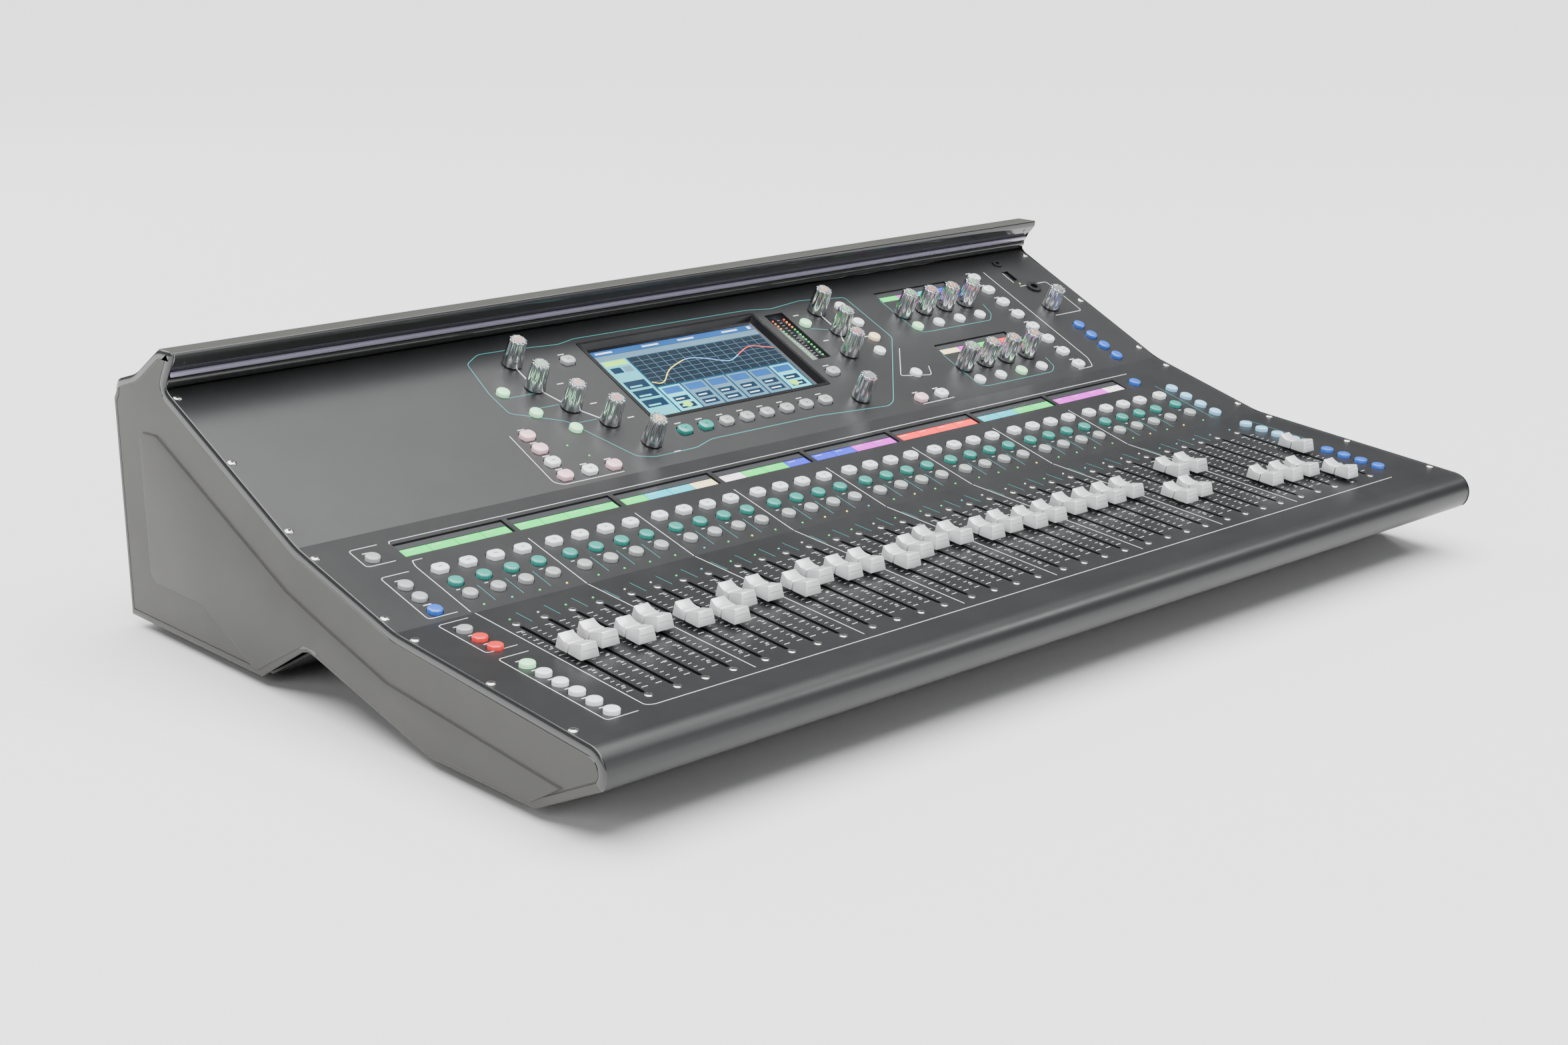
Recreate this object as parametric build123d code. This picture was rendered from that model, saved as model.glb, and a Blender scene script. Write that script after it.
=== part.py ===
"""Digital mixing console: folded steel body, moulded end cheeks, motor faders, encoders and keys.

Frame: X to the operator's right, Y away from the operator, Z up, origin on the floor
under the middle of the console. Millimetres and degrees.
"""
from build123d import *
import os
from math import asin, atan2, cos, degrees, hypot, radians, sin

os.makedirs("parts", exist_ok=True)

# ---------------------------------------------------------------- overall size
overall_width = 804.5
overall_depth = 514.6

# ---------------------------------------------------------------- sheet metal
panel_thickness = 2.0
tray_thickness = 1.5
seam = 0.1

# ---------------------------------------------------------------- side profile
foot_height = 7.0
foot_radius = 11.0
nose_radius = 13.0
nose_height = 44.6
lower_slope = 5.07
middle_slope = 15.06
upper_slope = 25.3
lower_length = 180.1
middle_length = 105.9
hood_depth = 69.7
hood_top = 20.0
hood_overhang = 16.9
hood_rise = 25.9
hood_rear_step = 34.3
hood_rear_drop = 22.1
rear_lip_drop = 8.0
rear_recess = 6.0
light_strip_width = 4.0
light_strip_rise = 0.8
light_strip_share = 0.4
flat_front_length = 98.4
front_bottom_setback = 63.2
arch_rise = 31.0
arch_peak_setback = 227.3
arch_rear_setback = 168.8
arch_radius = 6.0

# ---------------------------------------------------------------- end cheeks
cheek_thickness = 10.0
cheek_rim_width = 2.9
cheek_rim_rise = 0.6
cheek_pad_proud = 1.6
pad_rear_setback = 34.0
pad_bottom_height = 36.0
pad_top_drop = 32.0
pad_toe_setback = 66.0
cheek_edge = 0.9

# ---------------------------------------------------------------- screws
edge_screw_inset = 3.35
edge_screw_head = 2.9
edge_screw_rise = 1.0
edge_screw_radius = 1.5
edge_screw_length = 9.0
slot_screw_head = 2.5
slot_screw_rise = 0.5
slot_screw_radius = 1.25
slot_screw_length = 3.0
screw_clearance = 0.2

# ---------------------------------------------------------------- channel strips
bank_count = 8
bank_size = 4
strip_pitch = 20.113
bank_gap = 3.788
master_x = 338.2
first_strip_x = -335.74

# ---------------------------------------------------------------- faders
fader_travel = 100.0
fader_mount_pitch = 120.0
fader_front_screw = 32.5
slot_width = 2.6
slot_end_margin = 4.0
cap_length = 23.6
cap_width = 11.4
cap_gap = 3.0
cap_height = 11.5
cap_waist = 8.8
cap_front_taper = 1.8
cap_side_chamfer = 0.8
tongue_thickness = 1.2
tongue_length = 6.0
tongue_grip = 3.0
carriage_width = 7.0
carriage_length = 12.0
carriage_height = 6.0
carriage_depth = 11.0
track_width = 12.0
track_wall = 1.2
track_height = 14.0
track_drop = 1.0
# Where each cap rests, forward of the middle of its travel.
cap_rest = [
    -3.1, -10.3, -2.5, -11.1, -2.8, 5.7, -11.3, -10.2,
    -3.1, -13.0, -8.2, -9.2, -1.6, -9.6, -15.6, -13.3,
    -7.7, -10.2, -6.1, -7.0, -10.2, -9.0, -9.5, -10.1,
    18.0, 14.8, -21.5, -20.8, 28.1, 30.5, 30.4, 49.5,
]
master_rest = -6.2

# ---------------------------------------------------------------- rotary controls
knob_base_radius = 7.4
knob_top_radius = 6.4
knob_height = 20.0
knob_lift = 0.8
knob_flutes = 10
flute_radius = 1.3
flute_start_share = 0.25
flute_reach_share = 0.55
flute_lean = 3.0
knob_top_edge = 0.7
shaft_radius = 3.0
shaft_fit = 0.05
shaft_clearance = 0.8
encoder_size = 12.0
encoder_height = 5.0
shaft_tail = 4.0
level_knob_height = 18.0

# ---------------------------------------------------------------- keys
key_rise = 2.6
key_travel = 0.8
key_gap = 0.35
key_skirt = 0.6
key_collar = 0.9
key_collar_thickness = 1.0
round_key_radius = 4.8
hex_key_width = 12.4
hex_key_depth = 9.2
hex_key_flat = 8.0
key_edge = 0.5

# ---------------------------------------------------------------- displays
screen_x = -9.0
screen_y = 95.0
screen_cut_width = 168.0
screen_cut_depth = 95.6
screen_view_width = 155.0
screen_view_depth = 86.0
screen_sink = 4.0
screen_module_height = 9.0
meter_x = 91.6
meter_y = 107.2
meter_width = 18.5
meter_length = 60.4
window_y = 79.6
window_depth = 16.0
window_sink = 2.6
window_module_height = 5.0
rotary_window_width = 81.0
rotary_window_depth = 12.8

# ---------------------------------------------------------------- boards inside
board_drop = 9.0
board_thickness = 1.6
board_margin = 12.0

# ---------------------------------------------------------------- rear connectors
xlr_pitch = 31.5
xlr_row_pitch = 38.0
xlr_columns = 16
xlr_rows = 3
xlr_first_x = -368.0
xlr_first_z = 46.0
xlr_flange_width = 26.0
xlr_flange_height = 31.0
xlr_flange_thickness = 2.0
xlr_barrel_radius = 11.8
xlr_barrel_depth = 18.0
xlr_mouth_radius = 9.4
xlr_mouth_depth = 11.0
xlr_core_radius = 7.6
xlr_pin_radius = 1.2
xlr_pin_circle = 4.9
jack_radius = 3.2
jack_body_radius = 7.5
jack_nut_radius = 6.5
jack_depth = 18.0
jack_nut_rise = 2.5
socket_x = 160.0
mains_x = 352.0
mains_z = 48.0
jack_pitch = 20.0
jack_row_pitch = 22.0
jack_first_z = 44.0
jack_rows = 2
data_pitch = 22.0
data_columns = 3
data_z = 100.0
network_width = 16.0
network_height = 14.0
square_data_offset = 76.0
square_data_width = 13.0
square_data_height = 12.0
vent_length = 26.0
vent_width = 3.0
vent_pitch = 32.0
vent_row_pitch = 7.0
vent_first_z = 116.0
vent_rows = 5
vent_columns = 4


# ================================================================ derived profile
half_width = overall_width / 2
front_y = -overall_depth / 2
rear_y = overall_depth / 2
panel_half = half_width - cheek_rim_width
panel_start_x = seam - panel_half
inner_half = half_width - cheek_thickness


def step(start, slope, length):
    """The point a length up a slope from a start, as (y, z)."""
    return (start[0] + length * cos(radians(slope)), start[1] + length * sin(radians(slope)))


nose_centre = (front_y + nose_radius + cheek_rim_rise, nose_height)
nose_top = step(nose_centre, lower_slope + 90, nose_radius)
lower_bend = step(nose_top, lower_slope, lower_length)
upper_bend = step(lower_bend, middle_slope, middle_length)
hood_foot_y = rear_y - hood_depth
upper_length = (hood_foot_y - upper_bend[0]) / cos(radians(upper_slope))
hood_foot = step(upper_bend, upper_slope, upper_length)
overall_height = hood_foot[1] + hood_rise
hood_front = (hood_foot_y - hood_overhang, overall_height)
hood_back = (hood_front[0] + hood_top, overall_height)
rear_step = (hood_back[0] + hood_rear_step, overall_height - hood_rear_drop)
rear_top = (rear_y - 4.0, rear_step[1] - rear_lip_drop)
rear_face_y = rear_y - rear_recess
front_bottom = (front_y + front_bottom_setback, foot_height)
arch_front = (front_bottom[0] + flat_front_length, foot_height)
arch_peak = (rear_y - arch_peak_setback, foot_height + arch_rise)
arch_rear = (rear_y - arch_rear_setback, foot_height)


def nose_underside():
    """Where the sloping front of the tray meets the rolled nose, and the angle there."""
    dy = nose_centre[0] - front_bottom[0]
    dz = nose_centre[1] - front_bottom[1]
    reach = hypot(dy, dz)
    heading = degrees(atan2(dz, dy)) + degrees(asin(nose_radius / reach))
    length = (reach**2 - nose_radius**2) ** 0.5
    return step(front_bottom, heading, length), heading + 90


nose_end, nose_end_angle = nose_underside()

upper = Plane(
    origin=(0, *upper_bend), x_dir=(1, 0, 0),
    z_dir=(0, -sin(radians(upper_slope)), cos(radians(upper_slope))),
)
middle = Plane(
    origin=(0, *lower_bend), x_dir=(1, 0, 0),
    z_dir=(0, -sin(radians(middle_slope)), cos(radians(middle_slope))),
)
lower = Plane(
    origin=(0, *nose_top), x_dir=(1, 0, 0),
    z_dir=(0, -sin(radians(lower_slope)), cos(radians(lower_slope))),
)


# ================================================================ layout
def strip_x(index):
    """The centre line of a channel strip."""
    return first_strip_x + index * strip_pitch + (index // bank_size) * bank_gap


strip_xs = [strip_x(i) for i in range(bank_count * bank_size)]
slot_centre_y = fader_front_screw + fader_mount_pitch / 2
left_column_x = -365.6
right_column_x = 360.6
soft_column_x = 314.7
key_pitch = 14.95

knob_places = {
    "gain_knob": (-154.8, 132.7),
    "filter_knob": (-155.2, 103.8),
    "gate_knob": (-142.9, 77.0),
    "compressor_knob": (-125.4, 54.8),
    "pan_knob": (-110.3, 26.0),
    "eq_width_knob": (132.2, 131.7),
    "eq_frequency_knob": (132.0, 103.7),
    "eq_gain_knob": (119.8, 76.8),
    "data_knob": (87.5, 26.0),
    "headphone_knob": (357.2, 86.0),
}
rotary_pitch = 23.6
rotary_first_x = 206.9
rotary_rows = {"upper": 110.0, "lower": 35.8}
for row_name, row_y in rotary_rows.items():
    for number in range(4):
        knob_places[f"soft_rotary_{row_name}_{number + 1}"] = (rotary_first_x + number * rotary_pitch, row_y)

soft_key_places = [(-193.7, 56.4 - key_pitch * i) for i in range(4)]
soft_key_places += [(-173.6, 11.6), (-153.5, 11.6), (137.3, 11.6), (158.9, 11.6)]
soft_key_places += [(soft_column_x, 11.1 + 18.1 * i) for i in range(8)]
screen_key_places = [(-77.4 + 18.94 * i, 30.7) for i in range(8)] + [(87.6, 59.5), (-112.3, 125.0)]
processing_key_places = [
    (-181.9, 103.6), (-172.3, 77.1), (-154.7, 54.5), (110.0, 119.3),
    (157.4, 131.8), (157.1, 109.3), (156.6, 88.9), (147.6, 72.2), (157.3, 39.7),
]
rotary_key_drop = 18.2
processing_key_places += [
    (rotary_first_x + number * rotary_pitch, row_y - rotary_key_drop)
    for row_y in rotary_rows.values() for number in range(4)
]
processing_key_places += [(361.8, 11.3 + key_pitch * i) for i in range(4)]
middle_key_places = [(left_column_x, y) for y in (77.2, 41.8, 26.9, 11.0)] + [(master_x, 76.2)]
middle_key_places += [(right_column_x, 11.3 + key_pitch * i) for i in range(4)]
lower_key_places = [(left_column_x, 131.3 + key_pitch * i) for i in range(3)]
lower_key_places += [(left_column_x, 26.7 + key_pitch * i) for i in range(6)]
lower_key_places += [(right_column_x, 116.4 + key_pitch * i) for i in range(4)]
lower_key_places += [(right_column_x, 41.2 + key_pitch * i) for i in range(4)]
strip_rows = {"select": 50.4, "mute": 33.8, "listen": 18.8}
strip_key_xs = strip_xs + [master_x]
window_centres = [
    (strip_x(bank * bank_size) + strip_x(bank * bank_size + bank_size - 1)) / 2
    for bank in range(bank_count)
]
window_width = bank_size * strip_pitch
rotary_window_x = rotary_first_x + 1.5 * rotary_pitch
rotary_window_lift = 24.8
edge_screws = [
    (upper, 156.5), (upper, 86.2), (upper, 15.7), (middle, 91.3), (middle, 16.0),
    (lower, 165.4), (lower, 92.7), (lower, 20.0),
]
panel_jack = (364.0, 113.5)
mini_jack = (356.0, 151.5)
usb_slot = (354.0, 133.0)
usb_slot_width = 5.7
usb_slot_length = 13.1
usb_wall = 0.65
mini_radius = 1.8
mini_neck_radius = 3.9
mini_nut_radius = 4.6
mini_nut_rise = 1.2
mini_depth = 5.5
mini_floor = 0.5
mini_sectors = 6
jack_neck_radius = 5.1
socket_gap = 0.1


# ================================================================ sheet helpers
def parallel(points, distance):
    """A path moved sideways, to the right of its direction, with mitred corners."""
    moved = []
    for i, point in enumerate(points):
        before = points[max(i - 1, 0)]
        after = points[min(i + 1, len(points) - 1)]
        incoming = (point[0] - before[0], point[1] - before[1]) if i else None
        outgoing = (after[0] - point[0], after[1] - point[1]) if i < len(points) - 1 else None
        first = incoming or outgoing
        second = outgoing or incoming
        a = atan2(first[1], first[0])
        b = atan2(second[1], second[0])
        mitre = (a + b) / 2
        reach = distance / cos((b - a) / 2)
        moved.append((point[0] + reach * sin(mitre), point[1] - reach * cos(mitre)))
    return moved


def folded_sheet(points, thickness, half_length):
    """A folded sheet across the console. The material lies to the right of the path."""
    outline = Polyline(*points, *reversed(parallel(points, thickness)), close=True)
    return extrude(Plane.YZ * make_face(outline), half_length, both=True)


def at(plane, place, height=0.0):
    """A position on a facet, raised above its skin."""
    return plane * Pos(place[0], place[1], height)


def prism(outline, bottom, top):
    """An outline made solid between two heights."""
    return Pos(0, 0, bottom) * extrude(outline, top - bottom)


# ================================================================ outlines of keys
def round_key_outline(growth=0.0):
    return Circle(round_key_radius + growth)


def hex_key_outline(growth=0.0):
    half = hex_key_width / 2 + growth
    flat = hex_key_flat / 2 + growth * 0.6
    rise = hex_key_depth / 2 + growth
    points = [(half, 0), (flat, rise), (-flat, rise), (-half, 0), (-flat, -rise), (flat, -rise)]
    return fillet(Polygon(*points, align=None).vertices(), 1.2)


def key_cap(outline):
    """A key with a collar that keeps it under the panel."""
    collar_top = -panel_thickness - key_skirt
    cap = prism(outline(), collar_top, key_rise)
    cap = chamfer(cap.faces().sort_by(Axis.Z)[-1].edges(), key_edge)
    collar = prism(outline(key_collar), collar_top - key_collar_thickness, collar_top)
    return cap + collar


def key_bank(plane, places, outline):
    """One cap at each place on a facet."""
    cap = key_cap(outline)
    return [at(plane, place) * cap for place in places]


def key_holes(plane, places, outline):
    hole = prism(outline(key_gap), -panel_thickness - 1, 1)
    return [at(plane, place) * hole for place in places]


# ================================================================ body
def control_panel():
    """The top in its four runs, which meet at the bends: rolled nose, lower, middle and upper facet."""
    path = [nose_top, lower_bend, upper_bend, hood_foot]
    inner = parallel(path, panel_thickness)
    runs = [across(nose_section(), panel_start_x, -panel_start_x)]
    for i, holes in enumerate((lower_holes(), middle_holes(), upper_holes())):
        section = Polygon(path[i], path[i + 1], inner[i + 1], inner[i], align=None)
        runs.append(across(section, panel_start_x, -panel_start_x) - holes)
    return runs


def nose_section():
    """The rolled edge, from the lower facet round to the tray."""
    sweep = nose_end_angle - 90 - lower_slope
    outer_roll = CenterArc(nose_centre, nose_radius, 90 + lower_slope, sweep)
    inner_roll = CenterArc(nose_centre, nose_radius - panel_thickness, 90 + lower_slope, sweep)
    ends = [Line(outer_roll @ 0, inner_roll @ 0), Line(outer_roll @ 1, inner_roll @ 1)]
    return make_face(Curve() + [outer_roll, inner_roll, *ends])


def through(outline):
    """A cutter right through the panel's skin."""
    return Pos(0, 0, -1.5 * panel_thickness) * extrude(outline, 3 * panel_thickness)


def shared_holes(facet):
    """The display cut-outs and edge screw holes of one facet."""
    cuts = [at(plane, place) * through(Rectangle(width, depth))
            for plane, place, width, depth in display_cutouts() if plane is facet]
    screw_hole = through(Circle(edge_screw_radius + screw_clearance))
    return cuts + [at(plane, place) * screw_hole for plane, place in edge_screw_places() if plane is facet]


def lower_holes():
    holes = key_holes(lower, lower_key_places, round_key_outline)
    slot = through(SlotOverall(fader_mount_pitch - 2 * slot_end_margin, slot_width, rotation=90))
    holes += [at(lower, (x, slot_centre_y)) * slot for x in strip_key_xs]
    screw_hole = through(Circle(slot_screw_radius + screw_clearance))
    return holes + [at(lower, place) * screw_hole for place in slot_screw_places()] + shared_holes(lower)


def middle_holes():
    holes = key_holes(middle, middle_key_places, round_key_outline)
    holes += key_holes(middle, [(x, strip_rows["select"]) for x in strip_key_xs], hex_key_outline)
    for row in ("mute", "listen"):
        holes += key_holes(middle, [(x, strip_rows[row]) for x in strip_key_xs], round_key_outline)
    return holes + shared_holes(middle)


def upper_holes():
    holes = key_holes(upper, soft_key_places + screen_key_places, hex_key_outline)
    holes += key_holes(upper, processing_key_places, round_key_outline)
    shaft_hole = through(Circle(shaft_radius + shaft_clearance))
    holes += [at(upper, place) * shaft_hole for place in knob_places.values()]
    holes.append(at(upper, panel_jack) * through(Circle(jack_neck_radius + socket_gap)))
    holes.append(at(upper, mini_jack) * through(Circle(mini_neck_radius + socket_gap)))
    usb = Rectangle(usb_slot_width + 2 * (usb_wall + socket_gap), usb_slot_length + 2 * (usb_wall + socket_gap))
    return holes + [at(upper, usb_slot) * through(usb)] + shared_holes(upper)


def display_cutouts():
    """Facet, centre, width and depth of each display opening."""
    cuts = [(upper, (screen_x, screen_y), screen_cut_width, screen_cut_depth)]
    cuts.append((upper, (meter_x, meter_y), meter_width, meter_length))
    cuts += [(middle, (x, window_y), window_width, window_depth) for x in window_centres]
    cuts += [(upper, (rotary_window_x, row_y + rotary_window_lift), rotary_window_width, rotary_window_depth)
             for row_y in rotary_rows.values()]
    return cuts


def slot_screw_places():
    front = fader_front_screw
    return [(x, y) for x in strip_key_xs for y in (front, front + fader_mount_pitch)]


def edge_screw_places():
    x = panel_half - edge_screw_inset
    return [(plane, (side * x, y)) for plane, y in edge_screws for side in (-1, 1)]


def base_tray():
    """The folded bottom: sloping front, front foot, arch and rear floor."""
    seam_gap = 1.0
    start = step(nose_end, nose_end_angle + 90, seam_gap)
    path = [start, front_bottom, arch_front, arch_peak, arch_rear, (rear_face_y - seam, foot_height)]
    inner = parallel(path, -tray_thickness)
    outline = Polyline(*path, *reversed(inner), close=True)
    face = make_face(outline)
    peak = face.vertices().sort_by_distance(Vector(*arch_peak))[0]
    face = fillet(peak, arch_radius)
    inner_peak = face.vertices().sort_by_distance(Vector(*inner[3]))[0]
    face = fillet(inner_peak, arch_radius + tray_thickness)
    return extrude(Plane.YZ * face, inner_half, both=True)


def cheek_outline():
    """The cheek's outline, a rim's rise outside the panel."""
    skin = [nose_top, lower_bend, upper_bend, hood_foot]
    raised = parallel(skin, -cheek_rim_rise)
    radius = nose_radius + cheek_rim_rise
    sweep = nose_end_angle - 90 - lower_slope
    roll = CenterArc(nose_centre, radius, 90 + lower_slope, sweep)
    underside = [roll @ 1, front_bottom, arch_front, arch_peak, arch_rear, (rear_y, foot_height)]
    back = [rear_top, rear_step, hood_back, hood_front]
    rim = Polyline(*underside, *back, (raised[-1][0], raised[-1][1]), raised[2], raised[1], raised[0])
    face = make_face(Curve() + [roll, rim])
    face = fillet(face.vertices().sort_by_distance(Vector(*arch_peak))[0], arch_radius)
    face = fillet(face.vertices().sort_by_distance(Vector(*rear_top))[0], 7.0)
    return fillet(face.vertices().sort_by_distance(Vector(*hood_front))[0], 5.0)


def cheek_relief():
    """The lower area behind and below the raised pad on a cheek's outer face."""
    rear = rear_y - pad_rear_setback
    high = rear_step[1] - pad_top_drop
    toe = (rear - pad_toe_setback, pad_bottom_height)
    beyond = rear_y + 5
    points = [(rear, high), (rear, pad_bottom_height), toe, (arch_rear[0] + 8, 0), (beyond, 0), (beyond, high)]
    return Polygon(*points, align=None)


def across(outline, start, end):
    """A side-view outline made solid between two X positions."""
    return extrude(Plane.YZ.offset(min(start, end)) * outline, abs(end - start), dir=(1, 0, 0))


def nose_ring():
    """The band of the rolled nose that the panel's edge fills, as seen from the side."""
    reach = 4 * nose_radius
    wedge = [nose_centre] + [
        step(nose_centre, angle, reach) for angle in (nose_end_angle, 180, 90)
    ]
    return Polygon(*wedge, align=None) - Pos(*nose_centre) * Circle(nose_radius - panel_thickness)


def end_cheek(side):
    """One moulded end cheek: side plate, ledge under the panel and raised pad."""
    inner = side * inner_half
    plate = across(cheek_outline(), inner, side * half_width)
    outer_face = plate.faces().sort_by(Axis.X)[-1 if side > 0 else 0]
    plate = chamfer(outer_face.edges(), cheek_edge)
    ledge_edge = side * panel_half
    plate -= across(Polygon(*ledge_region(), align=None), inner - side, ledge_edge)
    plate -= across(nose_ring(), inner - side, ledge_edge)
    plate -= across(cheek_relief(), side * (half_width - cheek_pad_proud), side * (half_width + 1))
    bore = Cylinder(edge_screw_radius, 2 * edge_screw_length)
    mine = [(plane, place) for plane, place in edge_screw_places() if place[0] * side > 0]
    return plate - [at(plane, place) * bore for plane, place in mine]


def ledge_region():
    """Everything above the panel's underside, hood included, as seen from the side."""
    path = parallel([nose_top, lower_bend, upper_bend, hood_foot], panel_thickness)
    top = overall_height + 5
    hood_inner = parallel([hood_foot, hood_front, hood_back, rear_step, (rear_face_y, hood_line_z(rear_face_y))],
                          panel_thickness)
    return [*path, *hood_inner, (rear_y + 5, hood_inner[-1][1]), (rear_y + 5, top), (path[0][0], top)]


def hood_line_z(y):
    """Height of the rear cover's skin behind the step."""
    share = (y - rear_step[0]) / (rear_top[0] - rear_step[0])
    return rear_step[1] + share * (rear_top[1] - rear_step[1])


def rear_hood():
    """The folded hood and rear cover, and the light strip on its front face."""
    path = [hood_foot, hood_front, hood_back, rear_step, (rear_face_y, hood_line_z(rear_face_y))]
    cover = folded_sheet(path, panel_thickness, panel_half - seam)
    rise = hypot(hood_front[0] - hood_foot[0], hood_front[1] - hood_foot[1])
    face_angle = degrees(atan2(hood_front[1] - hood_foot[1], hood_front[0] - hood_foot[0]))
    middle_point = step(hood_foot, face_angle, rise * light_strip_share)
    bar = Pos(*middle_point) * Rot(0, 0, face_angle) * Pos(0, light_strip_rise / 2)
    strip = across(bar * Rectangle(light_strip_width, light_strip_rise), -inner_half, inner_half)
    return [cover, strip]


def rear_panel():
    """The upright rear plate, in strips that meet between its openings, with the vents."""
    holes = rear_holes()
    edges = [-inner_half, *plate_joins(), inner_half]
    return [plate_strip(start, end) - holes for start, end in zip(edges, edges[1:])]


def plate_joins():
    """The X positions where neighbouring strips of the rear plate meet."""
    between_xlrs = [xlr_first_x + (column + 0.5) * xlr_pitch for column in range(xlr_columns)]
    between_data = [socket_x + (column + 0.5) * data_pitch for column in range(data_columns)]
    return between_xlrs + between_data + [mains_x - 2.5 * vent_pitch, mains_x - 0.5 * vent_pitch]


def plate_strip(start, end):
    """One upright strip of the rear plate between two X positions."""
    bottom = foot_height + tray_thickness
    top = hood_line_z(rear_face_y) - panel_thickness
    centre = Pos((start + end) / 2, rear_face_y - panel_thickness / 2, (bottom + top) / 2)
    return centre * Box(end - start, panel_thickness, top - bottom)


def rear_holes():
    """A cutter for each connector and vent in the rear plate."""
    holes = [on_rear(x, z) * rear_hole(Circle(xlr_barrel_radius + 0.2)) for x, z in xlr_places()]
    holes += [on_rear(x, z) * rear_hole(Circle(jack_nut_radius - 1.5)) for x, z in jack_places()]
    holes += [on_rear(x, z) * rear_hole(Rectangle(w, h)) for x, z, w, h in data_places()]
    holes.append(on_rear(mains_x, mains_z) * rear_hole(Rectangle(27.4, 20.0)))
    holes.append(on_rear(mains_x, mains_z + 42) * rear_hole(Rectangle(19.4, 26.4)))
    vent = rear_hole(SlotOverall(vent_length, vent_width))
    return holes + [on_rear(x, z) * vent for x, z in vent_places()]


def on_rear(x, z):
    """A frame on the rear plate's outer face, looking out."""
    return Plane(origin=(x, rear_face_y, z), x_dir=(-1, 0, 0), z_dir=(0, 1, 0)).location


def rear_hole(outline):
    return Pos(0, 0, -2 * panel_thickness) * extrude(outline, 3 * panel_thickness)


def xlr_places():
    return [(xlr_first_x + column * xlr_pitch, xlr_first_z + row * xlr_row_pitch)
            for row in range(xlr_rows) for column in range(xlr_columns)]


def jack_places():
    return [(socket_x + column * jack_pitch, jack_first_z + row * jack_row_pitch)
            for row in range(jack_rows) for column in range(jack_rows)]


def data_places():
    """x, z, width and height of each data socket's housing."""
    network = [(socket_x + column * data_pitch, data_z, network_width, network_height)
               for column in range(data_columns)]
    return network + [(socket_x + square_data_offset, data_z, square_data_width, square_data_height)]


def vent_places():
    first_x = mains_x - (vent_columns - 1) * vent_pitch
    return [(first_x + column * vent_pitch, vent_first_z + row * vent_row_pitch)
            for row in range(vent_rows) for column in range(vent_columns)]


# ================================================================ displays
def screen_surround():
    """The sunken frame around the display, with walls that slope in."""
    outer = RectangleRounded(screen_cut_width - 2 * seam, screen_cut_depth - 2 * seam, 2.0)
    block = prism(outer, -screen_sink - 1.5, 0.4)
    mouth = Rectangle(screen_cut_width - 5, screen_cut_depth - 5)
    floor = Rectangle(screen_view_width + 1, screen_view_depth - 1)
    funnel = loft([Plane.XY.offset(0.5) * mouth, Plane.XY.offset(-screen_sink - 1.6) * floor])
    return at(upper, (screen_x, screen_y)) * (block - funnel)


def touch_display():
    """The display module behind its surround: glass, then a metal-backed panel."""
    top = -screen_sink - 1.5
    glass = prism(Rectangle(screen_view_width + 8, screen_view_depth + 6), top - 2.0, top)
    module = prism(Rectangle(screen_view_width + 6, screen_view_depth + 4), top - screen_module_height, top - 2.0)
    return [at(upper, (screen_x, screen_y)) * piece for piece in (glass, module)]


def strip_displays():
    """The channel name displays, the soft rotary displays and the level meter window."""
    pieces = []
    for plane, place, width, depth in display_cutouts()[1:]:
        body = prism(Rectangle(width - 2 * seam, depth - 2 * seam), -window_sink - window_module_height, -window_sink)
        pieces.append(at(plane, place) * body)
    return pieces


# ================================================================ faders
def fader_cap():
    """A finger-dished cap, high at both ends and low at its waist."""
    half = cap_length / 2
    side = [
        (-half, cap_gap), (-half + cap_front_taper, cap_height), (-half + 3.5, cap_height + 0.2),
        (0, cap_waist), (half - 3.0, cap_height - 0.3), (half - 0.6, cap_height - 0.2), (half, cap_gap),
    ]
    body = extrude(Plane.YZ * Polygon(*side, align=None), cap_width / 2, both=True)
    upright = body.edges().filter_by(lambda e: abs((e @ 1 - e @ 0).Z) > 6)
    return chamfer(upright, cap_side_chamfer)


def fader_lever():
    """The metal tongue and the carriage that runs in the track."""
    foot = -panel_thickness - carriage_depth
    tongue = prism(Rectangle(tongue_thickness, tongue_length), foot + carriage_height, cap_gap + tongue_grip)
    carriage = prism(Rectangle(carriage_width, carriage_length), foot, foot + carriage_height)
    return tongue + carriage


def fader(x, rest):
    """One fader's cap and lever, standing where it rests."""
    lever = fader_lever()
    cap = fader_cap() - lever
    place = at(lower, (x, slot_centre_y - rest))
    return [place * cap, place * lever]


def fader_pair(number):
    """Two neighbouring faders that travel together."""
    first = 2 * number
    return fader(strip_xs[first], cap_rest[first]) + fader(strip_xs[first + 1], cap_rest[first + 1])


def fader_track():
    """The channel under a slot, open upwards, with end blocks that take the screws."""
    top = -panel_thickness
    length = fader_mount_pitch + 8
    body = prism(Rectangle(track_width, length), top - track_drop - track_height, top - track_drop)
    cavity_length = fader_travel + carriage_length + 1
    cavity = prism(
        Rectangle(track_width - 2 * track_wall, cavity_length), top - track_drop - track_height + track_wall, top
    )
    post = Cylinder(2.4, track_drop, align=(Align.CENTER, Align.CENTER, Align.MIN))
    ends = [Pos(0, side * fader_mount_pitch / 2, top - track_drop) * post for side in (-1, 1)]
    screw = Cylinder(slot_screw_radius, 4 * slot_screw_length)
    bores = [Pos(0, side * fader_mount_pitch / 2, top) * screw for side in (-1, 1)]
    return (body - cavity) + ends - bores


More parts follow.
